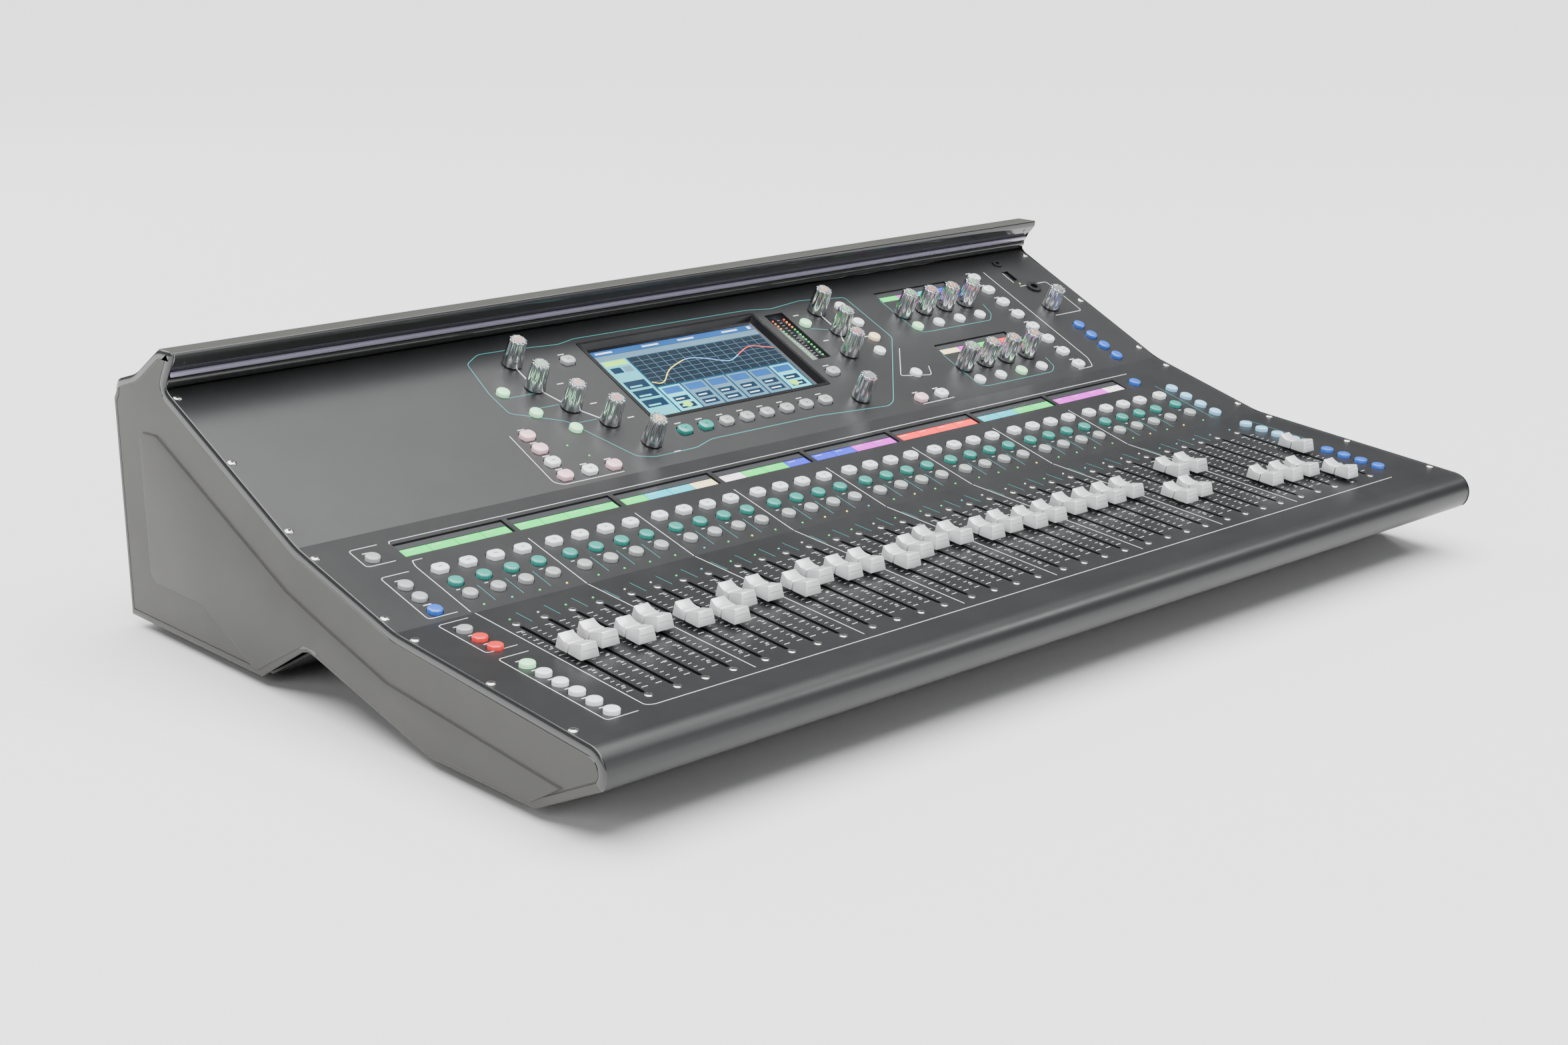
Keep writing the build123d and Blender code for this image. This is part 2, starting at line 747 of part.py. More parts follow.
# ================================================================ rotary controls
def knob(place, height):
    """A fluted, tapered cap on its shaft."""
    cap = Cone(knob_base_radius, knob_top_radius, height, align=(Align.CENTER, Align.CENTER, Align.MIN))
    top_edges = cap.faces().sort_by(Axis.Z)[-1].edges()
    cap = chamfer(top_edges, knob_top_edge)
    flute = Cylinder(flute_radius, height, align=(Align.CENTER, Align.CENTER, Align.MIN))
    reach = knob_top_radius + flute_radius * flute_reach_share
    leaning = Pos(reach, 0, height * flute_start_share) * Rot(0, -flute_lean, 0) * flute
    cap -= [Rot(0, 0, 360 / knob_flutes * i) * leaning for i in range(knob_flutes)]
    cap = Pos(0, 0, knob_lift) * cap
    shaft_bottom = -board_drop + 0.4
    shaft = prism(Circle(shaft_radius), shaft_bottom, knob_lift + height * 0.6)
    return [at(upper, place) * (cap - shaft), at(upper, place) * shaft]


def encoder():
    """The encoder body on its board, bored for the shaft."""
    body = prism(Rectangle(encoder_size, encoder_size), -board_drop, -board_drop + encoder_height)
    return body - prism(Circle(shaft_radius + shaft_fit), -board_drop + 0.3, 0)


# ================================================================ inside
def board(width, depth):
    return prism(Rectangle(width, depth), -board_drop - board_thickness, -board_drop)


def circuit_boards():
    """Boards behind the facets, the encoders on them, and the main board on posts."""
    inner_width = 2 * (inner_half - board_margin)
    upper_depth = 144.0
    plate = Pos(0, 4 + upper_depth / 2) * board(inner_width, upper_depth)
    gaps = [(screen_x, screen_y, screen_view_width + 18, screen_view_depth + 16),
            (meter_x, meter_y, meter_width + 6, meter_length + 8),
            (*panel_jack, 2 * jack_body_radius + 4, 2 * jack_body_radius + 4)]
    plate -= [Pos(x, y, -board_drop) * Box(w, d, 10) for x, y, w, d in gaps]
    pieces = [upper.location * plate]
    pieces += [at(upper, place) * encoder() for place in knob_places.values()]
    pieces.append(at(middle, (0, 34)) * board(inner_width, 56))
    strip_width = 30
    pieces += [at(lower, (x, 90)) * board(strip_width, 150) for x in (left_column_x, right_column_x + 6)]
    main = Pos(-60, 158, foot_height + 22) * Box(520, 110, board_thickness)
    post = Cylinder(3.0, 22 - tray_thickness - board_thickness / 2, align=(Align.CENTER, Align.CENTER, Align.MIN))
    posts = [Pos(x, y, foot_height + tray_thickness) * post for x in (-300, 180) for y in (115, 205)]
    return pieces + [main] + posts


def power_supply():
    """A boxed supply on the tray beside the mains inlet."""
    return Pos(290, 150, foot_height + tray_thickness + 21) * Box(150, 110, 42)


# ================================================================ connectors
def xlr_flange():
    plate = extrude(RectangleRounded(xlr_flange_width, xlr_flange_height, 2), xlr_flange_thickness)
    return plate + Pos(0, 0, -xlr_barrel_depth) * extrude(Circle(xlr_barrel_radius), xlr_barrel_depth)


def xlr_input():
    """A female socket: ring groove for the plug's shell and a three-hole core."""
    body = xlr_flange()
    mouth = Pos(0, 0, xlr_flange_thickness - xlr_mouth_depth) * extrude(Circle(xlr_mouth_radius), xlr_mouth_depth)
    core = Pos(0, 0, xlr_flange_thickness - xlr_mouth_depth) * extrude(Circle(xlr_core_radius), xlr_mouth_depth)
    holes = [Rot(0, 0, 90 * i) * Pos(xlr_pin_circle, 0, -4) * Cylinder(xlr_pin_radius, 20) for i in (0, 2, 3)]
    return body - (mouth - core) - holes


def xlr_output():
    """A male socket: a round well with three pins."""
    body = xlr_flange()
    floor = xlr_flange_thickness - xlr_mouth_depth
    body -= Pos(0, 0, floor) * extrude(Circle(xlr_mouth_radius), xlr_mouth_depth)
    pin = Pos(xlr_pin_circle, 0, floor) * extrude(Circle(xlr_pin_radius), xlr_mouth_depth - 2)
    return body + [Rot(0, 0, 90 * i) * pin for i in (0, 2, 3)]


def xlr_sockets():
    kinds = [xlr_output(), xlr_input(), xlr_input()]
    return [on_rear(x, z) * kinds[i // xlr_columns] for i, (x, z) in enumerate(xlr_places())]


def jack_socket():
    """A jack: nut outside, threaded neck through the plate, body behind."""
    body = Pos(0, 0, -panel_thickness - jack_depth + 2) * extrude(Circle(jack_body_radius), jack_depth - 2)
    neck = Pos(0, 0, -panel_thickness) * extrude(Circle(jack_nut_radius - 1.7), panel_thickness)
    nut = extrude(Circle(jack_nut_radius), jack_nut_rise)
    socket = body + neck + nut
    return socket - Pos(0, 0, jack_nut_rise - jack_depth) * extrude(Circle(jack_radius), jack_depth)


def data_socket(width, height):
    """A square data socket with an open front."""
    shell = Pos(0, 0, -18) * extrude(Rectangle(width - 0.4, height - 0.4), 18.8)
    well = Pos(0, 0, -12) * extrude(Rectangle(width - 3.0, height - 3.6), 13)
    return shell - well


def mains_inlet():
    """The mains inlet: flange, deep well and three blades."""
    body = extrude(RectangleRounded(31, 24, 3), 2) + Pos(0, 0, -24) * extrude(Rectangle(27, 19.6), 24)
    body -= Pos(0, 0, -16) * extrude(Rectangle(23.4, 15.6), 19)
    blade = Pos(0, 0, -16) * extrude(Rectangle(2, 4), 14)
    return body + [Pos(x, y, 0) * blade for x, y in ((-7, -2), (0, 3.5), (7, -2))]


def switch_frame():
    """The frame around the power rocker."""
    return (extrude(Rectangle(22, 29), 1.6) + Pos(0, 0, -20) * extrude(Rectangle(19, 26), 20)) - Pos(
        0, 0, -14) * extrude(Rectangle(15, 22), 16)


def rear_sockets():
    pieces = [on_rear(x, z) * jack_socket() for x, z in jack_places()]
    pieces += [on_rear(x, z) * data_socket(w, h) for x, z, w, h in data_places()]
    pieces.append(on_rear(mains_x, mains_z) * mains_inlet())
    pieces.append(on_rear(mains_x, mains_z + 42) * switch_frame())
    slot_cover = extrude(RectangleRounded(104, 46, 1.5), 1.2)
    pieces.append(on_rear(socket_x + 100 + 12, 54) * slot_cover)
    return pieces


def power_switch():
    """The rocker, rocked about a pin across the frame."""
    rocker = [(-10.0, 2.6), (0, 0.9), (10.0, 4.2), (10.0, -1.0), (4.0, -9.0), (-4.0, -9.0), (-10.0, -2.0)]
    face = Polygon(*rocker, align=None)
    body = extrude(Plane.YZ * face, 14.2 / 2, both=True)
    return on_rear(mains_x, mains_z + 42) * body


def panel_sockets():
    """The headphone jack, small jack and data slot on the top panel."""
    nut = prism(Circle(jack_nut_radius), 0, 1.8)
    neck = prism(Circle(jack_neck_radius), -panel_thickness, 0)
    body = prism(Circle(jack_body_radius), -jack_depth, -panel_thickness)
    jack = nut + neck + body - prism(Circle(jack_radius), 2 - jack_depth, 2)
    shell = prism(Rectangle(usb_slot_width + 2 * usb_wall, usb_slot_length + 2 * usb_wall), -panel_thickness - 5, 0.3)
    shell -= prism(Rectangle(usb_slot_width, usb_slot_length), -panel_thickness - 4.5, 1)
    tongue = Pos(-1.2, 0, 0) * prism(Rectangle(1.9, usb_slot_length - 2), -panel_thickness - 4.5, -0.4)
    small = [at(upper, mini_jack) * piece for piece in small_jack()]
    return [at(upper, panel_jack) * jack, *small, at(upper, usb_slot) * (shell + tongue)]


def small_jack():
    """The small jack: a nut and neck in sectors round the bore, closed by a disc."""
    ring = prism(Circle(mini_nut_radius), 0, mini_nut_rise) + prism(Circle(mini_neck_radius), -mini_depth, 0)
    ring -= prism(Circle(mini_radius), -mini_depth, mini_nut_rise)
    step_angle = 360 / mini_sectors
    reach = 2 * mini_nut_radius
    edge = Vector(reach, 0)
    wedge = Polygon(Vector(0, 0), edge, edge.rotate(Axis.Z, step_angle), align=None)
    cutter = prism(wedge, -mini_depth, mini_nut_rise)
    sectors = [ring & Rot(0, 0, step_angle * i) * cutter for i in range(mini_sectors)]
    return sectors + [prism(Circle(mini_neck_radius), -mini_depth - mini_floor, -mini_depth)]


# ================================================================ fasteners and feet
def screw(head, rise, radius, length):
    """A domed screw with a hexagonal key hole."""
    body = prism(Circle(head), 0, rise)
    body = chamfer(body.faces().sort_by(Axis.Z)[-1].edges(), rise * 0.45)
    body += prism(Circle(radius), -length, 0)
    return body - prism(RegularPolygon(head * 0.42, 6), rise * 0.3, rise + 1)


def panel_screws():
    edge = screw(edge_screw_head, edge_screw_rise, edge_screw_radius, edge_screw_length)
    slot = screw(slot_screw_head, slot_screw_rise, slot_screw_radius, slot_screw_length)
    screws = [at(plane, place) * edge for plane, place in edge_screw_places()]
    return screws + [at(lower, place) * slot for place in slot_screw_places()]


def rubber_feet():
    """Four tapered round feet under the flat parts of the tray."""
    front = (front_bottom[0] + arch_front[0]) / 2 - 14
    foot = Cone(foot_radius - 1.5, foot_radius, foot_height, align=(Align.CENTER, Align.CENTER, Align.MIN))
    xs = inner_half - 56
    return [Pos(x, y, 0) * foot for x in (-xs, xs) for y in (front, rear_y - 46)]


# ================================================================ nodes
nodes = {
    "base_tray": base_tray(),
    "control_panel": control_panel(),
    "left_end_cheek": end_cheek(-1),
    "right_end_cheek": end_cheek(1),
    "rear_hood": rear_hood(),
    "rear_panel": rear_panel(),
    "screen_surround": screen_surround(),
    "touch_display": touch_display(),
    "strip_displays": strip_displays(),
    "fader_tracks": [at(lower, (x, slot_centre_y)) * fader_track() for x in strip_key_xs],
    "circuit_boards": circuit_boards(),
    "power_supply": power_supply(),
    "xlr_sockets": xlr_sockets(),
    "rear_sockets": rear_sockets(),
    "panel_sockets": panel_sockets(),
    "panel_screws": panel_screws(),
    "rubber_feet": rubber_feet(),
    "power_switch": power_switch(),
    "master_fader": fader(master_x, master_rest),
    "select_keys": key_bank(middle, [(x, strip_rows["select"]) for x in strip_key_xs], hex_key_outline),
    "mute_keys": key_bank(middle, [(x, strip_rows["mute"]) for x in strip_key_xs], round_key_outline),
    "listen_keys": key_bank(middle, [(x, strip_rows["listen"]) for x in strip_key_xs], round_key_outline),
    "soft_keys": key_bank(upper, soft_key_places, hex_key_outline),
    "upper_keys": key_bank(upper, screen_key_places, hex_key_outline)
    + key_bank(upper, processing_key_places, round_key_outline),
    "middle_keys": key_bank(middle, middle_key_places, round_key_outline),
    "lower_keys": key_bank(lower, lower_key_places, round_key_outline),
}
for number in range(bank_count * bank_size // 2):
    nodes[f"fader_pair_{number + 1:02d}"] = fader_pair(number)
for name, place in knob_places.items():
    nodes[name] = knob(place, level_knob_height if name == "headphone_knob" else knob_height)

for name, shape in nodes.items():
    if isinstance(shape, list):
        shape = Compound(children=[piece for part in shape for piece in part.solids()])
    export_step(shape, f"parts/{name}.step")
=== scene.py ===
"""Looks of a digital mixing console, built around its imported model."""

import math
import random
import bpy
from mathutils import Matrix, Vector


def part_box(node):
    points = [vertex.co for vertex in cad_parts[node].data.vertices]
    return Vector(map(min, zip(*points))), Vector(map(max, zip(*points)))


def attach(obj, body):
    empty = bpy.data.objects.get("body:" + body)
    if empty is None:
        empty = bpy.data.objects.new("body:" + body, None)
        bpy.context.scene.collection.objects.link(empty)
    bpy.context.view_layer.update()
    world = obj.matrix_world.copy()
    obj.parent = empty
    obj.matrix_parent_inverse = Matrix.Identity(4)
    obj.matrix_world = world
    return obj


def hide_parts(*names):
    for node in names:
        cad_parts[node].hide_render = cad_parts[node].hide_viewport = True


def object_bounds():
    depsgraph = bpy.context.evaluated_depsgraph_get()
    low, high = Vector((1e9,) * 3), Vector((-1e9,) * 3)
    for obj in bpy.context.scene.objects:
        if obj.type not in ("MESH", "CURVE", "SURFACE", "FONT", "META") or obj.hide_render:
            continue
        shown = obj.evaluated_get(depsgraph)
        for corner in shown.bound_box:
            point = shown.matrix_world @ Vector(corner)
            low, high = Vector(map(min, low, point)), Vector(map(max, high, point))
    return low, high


bl_info = {
    "name": "Mixing Console Looks",
    "version": (1, 0, 0),
    "blender": (4, 5, 0),
    "location": "3D View > Sidebar > Console",
    "description": "Finishes, controls, displays and printing of a digital mixing console",
    "category": "Object",
}

import bmesh
import bpy
from mathutils import Matrix, Vector

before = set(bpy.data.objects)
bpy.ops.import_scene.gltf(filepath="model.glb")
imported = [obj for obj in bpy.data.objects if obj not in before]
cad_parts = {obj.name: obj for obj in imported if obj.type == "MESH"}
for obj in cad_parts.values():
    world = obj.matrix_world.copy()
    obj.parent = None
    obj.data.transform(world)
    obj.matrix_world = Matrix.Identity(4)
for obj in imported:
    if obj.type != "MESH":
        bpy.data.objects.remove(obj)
cad_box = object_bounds()
MM = 0.001

# ------------------------------------------------------------------ side view of the body, millimetres
HALF_WIDTH = cad_box[1].x / MM
REAR_Y = cad_box[1].y / MM
FRONT_Y = cad_box[0].y / MM
TOP_Z = cad_box[1].z / MM
NOSE_RADIUS = 13.0
RIM_RISE = 0.6
RIM_WIDTH = 2.9
PANEL_THICKNESS = 2.0
CHEEK_THICKNESS = 10.0
SLOPES = {"lower": 5.07, "middle": 15.06, "upper": 25.3}
LOWER_LENGTH = 180.1
MIDDLE_LENGTH = 105.9
HOOD_DEPTH = 69.7
PANEL_HALF = HALF_WIDTH - RIM_WIDTH
INNER_HALF = HALF_WIDTH - CHEEK_THICKNESS


def along(start, slope, length):
    """The point a length up a slope, as (y, z)."""
    return (
        start[0] + length * math.cos(math.radians(slope)),
        start[1] + length * math.sin(math.radians(slope)),
    )


NOSE_CENTRE = (FRONT_Y + NOSE_RADIUS + RIM_RISE, 44.6)
NOSE_TOP = along(NOSE_CENTRE, 90 + SLOPES["lower"], NOSE_RADIUS)
LOWER_BEND = along(NOSE_TOP, SLOPES["lower"], LOWER_LENGTH)
UPPER_BEND = along(LOWER_BEND, SLOPES["middle"], MIDDLE_LENGTH)
HOOD_FOOT_Y = REAR_Y - HOOD_DEPTH
HOOD_FOOT = along(
    UPPER_BEND, SLOPES["upper"], (HOOD_FOOT_Y - UPPER_BEND[0]) / math.cos(math.radians(SLOPES["upper"]))
)
HOOD_FRONT = (HOOD_FOOT_Y - 16.9, TOP_Z)
HOOD_BACK = (HOOD_FRONT[0] + 20.0, TOP_Z)
REAR_STEP = (HOOD_BACK[0] + 34.3, TOP_Z - 22.1)
REAR_TOP = (REAR_Y - 4.0, REAR_STEP[1] - 8.0)
FACE_Y = REAR_Y - 6.0
FRONT_BOTTOM = (FRONT_Y + 63.2, 7.0)
ARCH_FRONT = (FRONT_BOTTOM[0] + 98.4, 7.0)
ARCH_PEAK = (REAR_Y - 227.3, 38.0)
ARCH_REAR = (REAR_Y - 168.8, 7.0)
ORIGINS = {"lower": NOSE_TOP, "middle": LOWER_BEND, "upper": UPPER_BEND}


def facet(name):
    """The frame of a panel facet: x across, y up the slope, z out of its skin, in millimetres."""
    y, z = ORIGINS[name]
    return Matrix.Translation((0, y, z)) @ Matrix.Rotation(math.radians(SLOPES[name]), 4, "X")


def rear_face():
    """The frame of the rear plate: x to the viewer's right when seen from behind, z out of it."""
    return Matrix.Translation((0, FACE_Y, 0)) @ Matrix.Rotation(math.pi, 4, "Z") @ Matrix.Rotation(
        math.pi / 2, 4, "X")


# ------------------------------------------------------------------ layout, millimetres on a facet
STRIP_COUNT = 32
BANK_SIZE = 4
STRIP_PITCH = 20.113
BANK_GAP = 3.788
FIRST_STRIP_X = -335.74
MASTER_X = 338.2
SLOT_CENTRE_Y = 92.5
STRIP_XS = [FIRST_STRIP_X + i * STRIP_PITCH + (i // BANK_SIZE) * BANK_GAP for i in range(STRIP_COUNT)]
KEY_XS = STRIP_XS + [MASTER_X]
WINDOW_XS = [STRIP_XS[BANK_SIZE * i] + 1.5 * STRIP_PITCH for i in range(STRIP_COUNT // BANK_SIZE)]
FADER_REST = [
    -3.1, -10.3, -2.5, -11.1, -2.8, 5.7, -11.3, -10.2,
    -3.1, -13.0, -8.2, -9.2, -1.6, -9.6, -15.6, -13.3,
    -7.7, -10.2, -6.1, -7.0, -10.2, -9.0, -9.5, -10.1,
    18.0, 14.8, -21.5, -20.8, 28.1, 30.5, 30.4, 49.5,
]
MASTER_REST = -6.2
STRIP_ROWS = {"select": 50.4, "mute": 33.8, "listen": 18.8}
ROTARY_XS = [206.9 + 23.6 * i for i in range(4)]
ROTARY_ROWS = {"upper": 110.0, "lower": 35.8}
KNOB_PLACES = {
    "gain_knob": (-154.8, 132.7, "red"), "filter_knob": (-155.2, 103.8, "green"),
    "gate_knob": (-142.9, 77.0, "orange"), "compressor_knob": (-125.4, 54.8, "red"),
    "pan_knob": (-110.3, 26.0, "amber"), "eq_width_knob": (132.2, 131.7, "orange"),
    "eq_frequency_knob": (132.0, 103.7, "green"), "eq_gain_knob": (119.8, 76.8, "red"),
    "data_knob": (87.5, 26.0, None), "headphone_knob": (357.2, 86.0, None),
}
ROTARY_LIGHTS = {
    "upper": ("green", "red", "orange", "green"), "lower": ("green", "orange", "orange", "orange"),
}
for row, lights in ROTARY_LIGHTS.items():
    for index, light in enumerate(lights):
        KNOB_PLACES[f"soft_rotary_{row}_{index + 1}"] = (ROTARY_XS[index], ROTARY_ROWS[row], light)
COLUMN_PITCH = 14.95
LEFT_X = -365.6
RIGHT_X = 360.6
SOFT_X = 314.7


def column(x, start, count, look, pitch=COLUMN_PITCH):
    """A column of like keys up a facet."""
    return [(x, start + pitch * i, look) for i in range(count)]


SOFT_KEYS = [
    (-193.7, 56.4, "pink"), (-193.7, 41.45, "pink"), (-193.7, 26.5, "white"), (-193.7, 11.55, "pink"),
    (-173.6, 11.6, "white"), (-153.5, 11.6, "pink"), (137.3, 11.6, "pink"), (158.9, 11.6, "white"),
]
SOFT_KEYS += column(SOFT_X, 11.1, 8, "white", 18.1)
SCREEN_KEYS = [(-77.4 + 18.94 * i, 30.7, "teal" if i < 2 else "grey") for i in range(8)]
SCREEN_KEYS += [(87.6, 59.5, "grey"), (-112.3, 125.0, "grey")]
PROCESSING_KEYS = [
    (-181.9, 103.6, "lit_green"), (-172.3, 77.1, "lit_green"), (-154.7, 54.5, "lit_green"),
    (110.0, 119.3, "lit_green"), (157.4, 131.8, "white"), (157.1, 109.3, "white"),
    (156.6, 88.9, "cream"), (147.6, 72.2, "white"), (157.3, 39.7, "white"),
]
PROCESSING_KEYS += [(x, 91.8, look) for x, look in zip(ROTARY_XS, ("lit_green", "white", "white", "white"))]
PROCESSING_KEYS += [(x, 17.6, look) for x, look in zip(ROTARY_XS, ("white", "white", "lit_green", "white"))]
PROCESSING_KEYS += column(361.8, 11.3, 4, "blue")
MIDDLE_KEYS = [(LEFT_X, 77.2, "grey"), (LEFT_X, 41.8, "grey"), (LEFT_X, 26.9, "grey"), (LEFT_X, 11.0, "blue"),
               (MASTER_X, 76.2, "blue")] + column(RIGHT_X, 11.3, 4, "pale_blue")
LOWER_KEYS = [(LEFT_X, 161.2, "grey"), (LEFT_X, 146.25, "red"), (LEFT_X, 131.3, "red")]
LOWER_KEYS += column(LEFT_X, 26.7, 5, "white") + [(LEFT_X, 101.45, "lit_green")]
LOWER_KEYS += column(RIGHT_X, 116.4, 4, "pale_blue") + column(RIGHT_X, 41.2, 4, "blue")
ROTARY_TILES = {"upper": ("green", "magenta", "cyan", "blue"), "lower": ("cream", "magenta", "green", "red")}
TILE_COLOURS = [
    "green", "green", "green", "green", "green", "green", "green", "green",
    "green", "cyan", "cyan", "cream", "pale", "green", "green", "blue",
    "blue", "blue", "magenta", "magenta", "red", "red", "red", "red",
    "cyan", "cyan", "green", "green", "magenta", "magenta", "magenta", "pale",
]

# ------------------------------------------------------------------ finishes
LIGHT_COLOURS = {
    "green": (0.0, 0.62, 0.10), "cyan": (0.0, 0.50, 0.62), "cream": (0.90, 0.78, 0.40),
    "pale": (0.92, 0.78, 0.88), "blue": (0.03, 0.04, 0.75), "magenta": (0.72, 0.02, 0.72),
    "red": (0.85, 0.03, 0.03),
    "orange": (0.95, 0.30, 0.03), "amber": (0.95, 0.50, 0.05), "yellow": (0.95, 0.80, 0.08),
}
KEY_COLOURS = {
    "white": (0.80, 0.82, 0.84), "pink": (0.86, 0.55, 0.60), "teal": (0.03, 0.33, 0.27),
    "grey": (0.42, 0.44, 0.44), "lit_green": (0.42, 0.92, 0.50), "cream": (0.90, 0.74, 0.48),
    "blue": (0.02, 0.13, 0.62),
    "pale_blue": (0.30, 0.62, 0.85), "red": (0.75, 0.03, 0.03),
}
KEY_GLOW = {
    "white": 0.25, "pink": 0.30, "lit_green": 0.75, "cream": 0.45, "red": 0.45, "pale_blue": 0.35,
    "blue": 0.20,
}
_looks = {}


def new_group(name, inputs, outputs):
    """An empty shader node group with its sockets, and its input and output nodes."""
    tree = bpy.data.node_groups.new(name, "ShaderNodeTree")
    for label, kind, value in inputs:
        socket = tree.interface.new_socket(label, in_out="INPUT", socket_type=kind)
        if value is not None:
            socket.default_value = value
    for label, kind in outputs:
        tree.interface.new_socket(label, in_out="OUTPUT", socket_type=kind)
    return tree, tree.nodes.new("NodeGroupInput"), tree.nodes.new("NodeGroupOutput")


def noise(tree, vector, scale, detail, roughness=0.55):
    node = tree.nodes.new("ShaderNodeTexNoise")
    node.inputs["Scale"].default_value = scale
    node.inputs["Detail"].default_value = detail
    node.inputs["Roughness"].default_value = roughness
    tree.links.new(vector, node.inputs["Vector"])
    return node


def ramp(tree, value, low, high, bottom=0.0, top=1.0):
    """A value stretched between two limits."""
    node = tree.nodes.new("ShaderNodeMapRange")
    node.inputs["From Min"].default_value = low
    node.inputs["From Max"].default_value = high
    node.inputs["To Min"].default_value = bottom
    node.inputs["To Max"].default_value = top
    tree.links.new(value, node.inputs["Value"])
    return node.outputs["Result"]


def math_node(tree, operation, first, second):
    """A Math node fed by sockets or plain numbers."""
    node = tree.nodes.new("ShaderNodeMath")
    node.operation = operation
    for index, item in enumerate((first, second)):
        if isinstance(item, (int, float)):
            node.inputs[index].default_value = item
        else:
            tree.links.new(item, node.inputs[index])
    return node.outputs[0]


def mix_colour(tree, factor, first, second):
    node = tree.nodes.new("ShaderNodeMix")
    node.data_type = "RGBA"
    for socket, item in ((node.inputs[0], factor), (node.inputs[6], first), (node.inputs[7], second)):
        if isinstance(item, (int, float, tuple)):
            socket.default_value = item
        else:
            tree.links.new(item, socket)
    return node.outputs[2]


def surface_group():
    """Fine grain over a slow mottle: colour, roughness and height that vary over the surface."""
    tree, start, end = new_group(
        "surface_variation",
        [("Vector", "NodeSocketVector", None), ("Colour", "NodeSocketColor", None),
         ("Deep Colour", "NodeSocketColor", None), ("Grain Scale", "NodeSocketFloat", 1500.0),
         ("Mottle Scale", "NodeSocketFloat", 9.0), ("Roughness", "NodeSocketFloat", 0.4),
         ("Spread", "NodeSocketFloat", 0.1)],
        [("Colour", "NodeSocketColor"), ("Roughness", "NodeSocketFloat"), ("Height", "NodeSocketFloat")],
    )
    fine = noise(tree, start.outputs["Vector"], 1, 3)
    broad = noise(tree, start.outputs["Vector"], 1, 4)
    tree.links.new(start.outputs["Grain Scale"], fine.inputs["Scale"])
    tree.links.new(start.outputs["Mottle Scale"], broad.inputs["Scale"])
    patches = ramp(tree, broad.outputs["Fac"], 0.35, 0.7)
    specks = ramp(tree, fine.outputs["Fac"], 0.3, 0.75)
    slow = math_node(tree, "MULTIPLY", patches, 0.6)
    quick = math_node(tree, "MULTIPLY", specks, 0.4)
    blend = math_node(tree, "ADD", slow, quick)
    colour = mix_colour(tree, blend, start.outputs["Colour"], start.outputs["Deep Colour"])
    swing = math_node(tree, "MULTIPLY", math_node(tree, "SUBTRACT", blend, 0.5), start.outputs["Spread"])
    rough = math_node(tree, "ADD", start.outputs["Roughness"], swing)
    tree.links.new(colour, end.inputs["Colour"])
    tree.links.new(rough, end.inputs["Roughness"])
    tree.links.new(fine.outputs["Fac"], end.inputs["Height"])
    return tree


def dust_group():
    """A thin pale film of dust that settles on faces turned upwards."""
    tree, start, end = new_group(
        "settled_dust",
        [("Vector", "NodeSocketVector", None), ("Colour", "NodeSocketColor", None),
         ("Dust Colour", "NodeSocketColor", (0.45, 0.44, 0.42, 1.0)), ("Amount", "NodeSocketFloat", 0.05)],
        [("Colour", "NodeSocketColor")],
    )
    geometry = tree.nodes.new("ShaderNodeNewGeometry")
    split = tree.nodes.new("ShaderNodeSeparateXYZ")
    tree.links.new(geometry.outputs["Normal"], split.inputs[0])
    upward = ramp(tree, split.outputs["Z"], 0.5, 1.0)
    clouds = noise(tree, start.outputs["Vector"], 22, 5, 0.7)
    film = math_node(tree, "MULTIPLY", upward, ramp(tree, clouds.outputs["Fac"], 0.4, 0.8))
    amount = math_node(tree, "MULTIPLY", film, start.outputs["Amount"])
    colour = mix_colour(tree, amount, start.outputs["Colour"], start.outputs["Dust Colour"])
    tree.links.new(colour, end.inputs["Colour"])
    return tree


def group_named(name, maker):
    return bpy.data.node_groups.get(name) or maker()


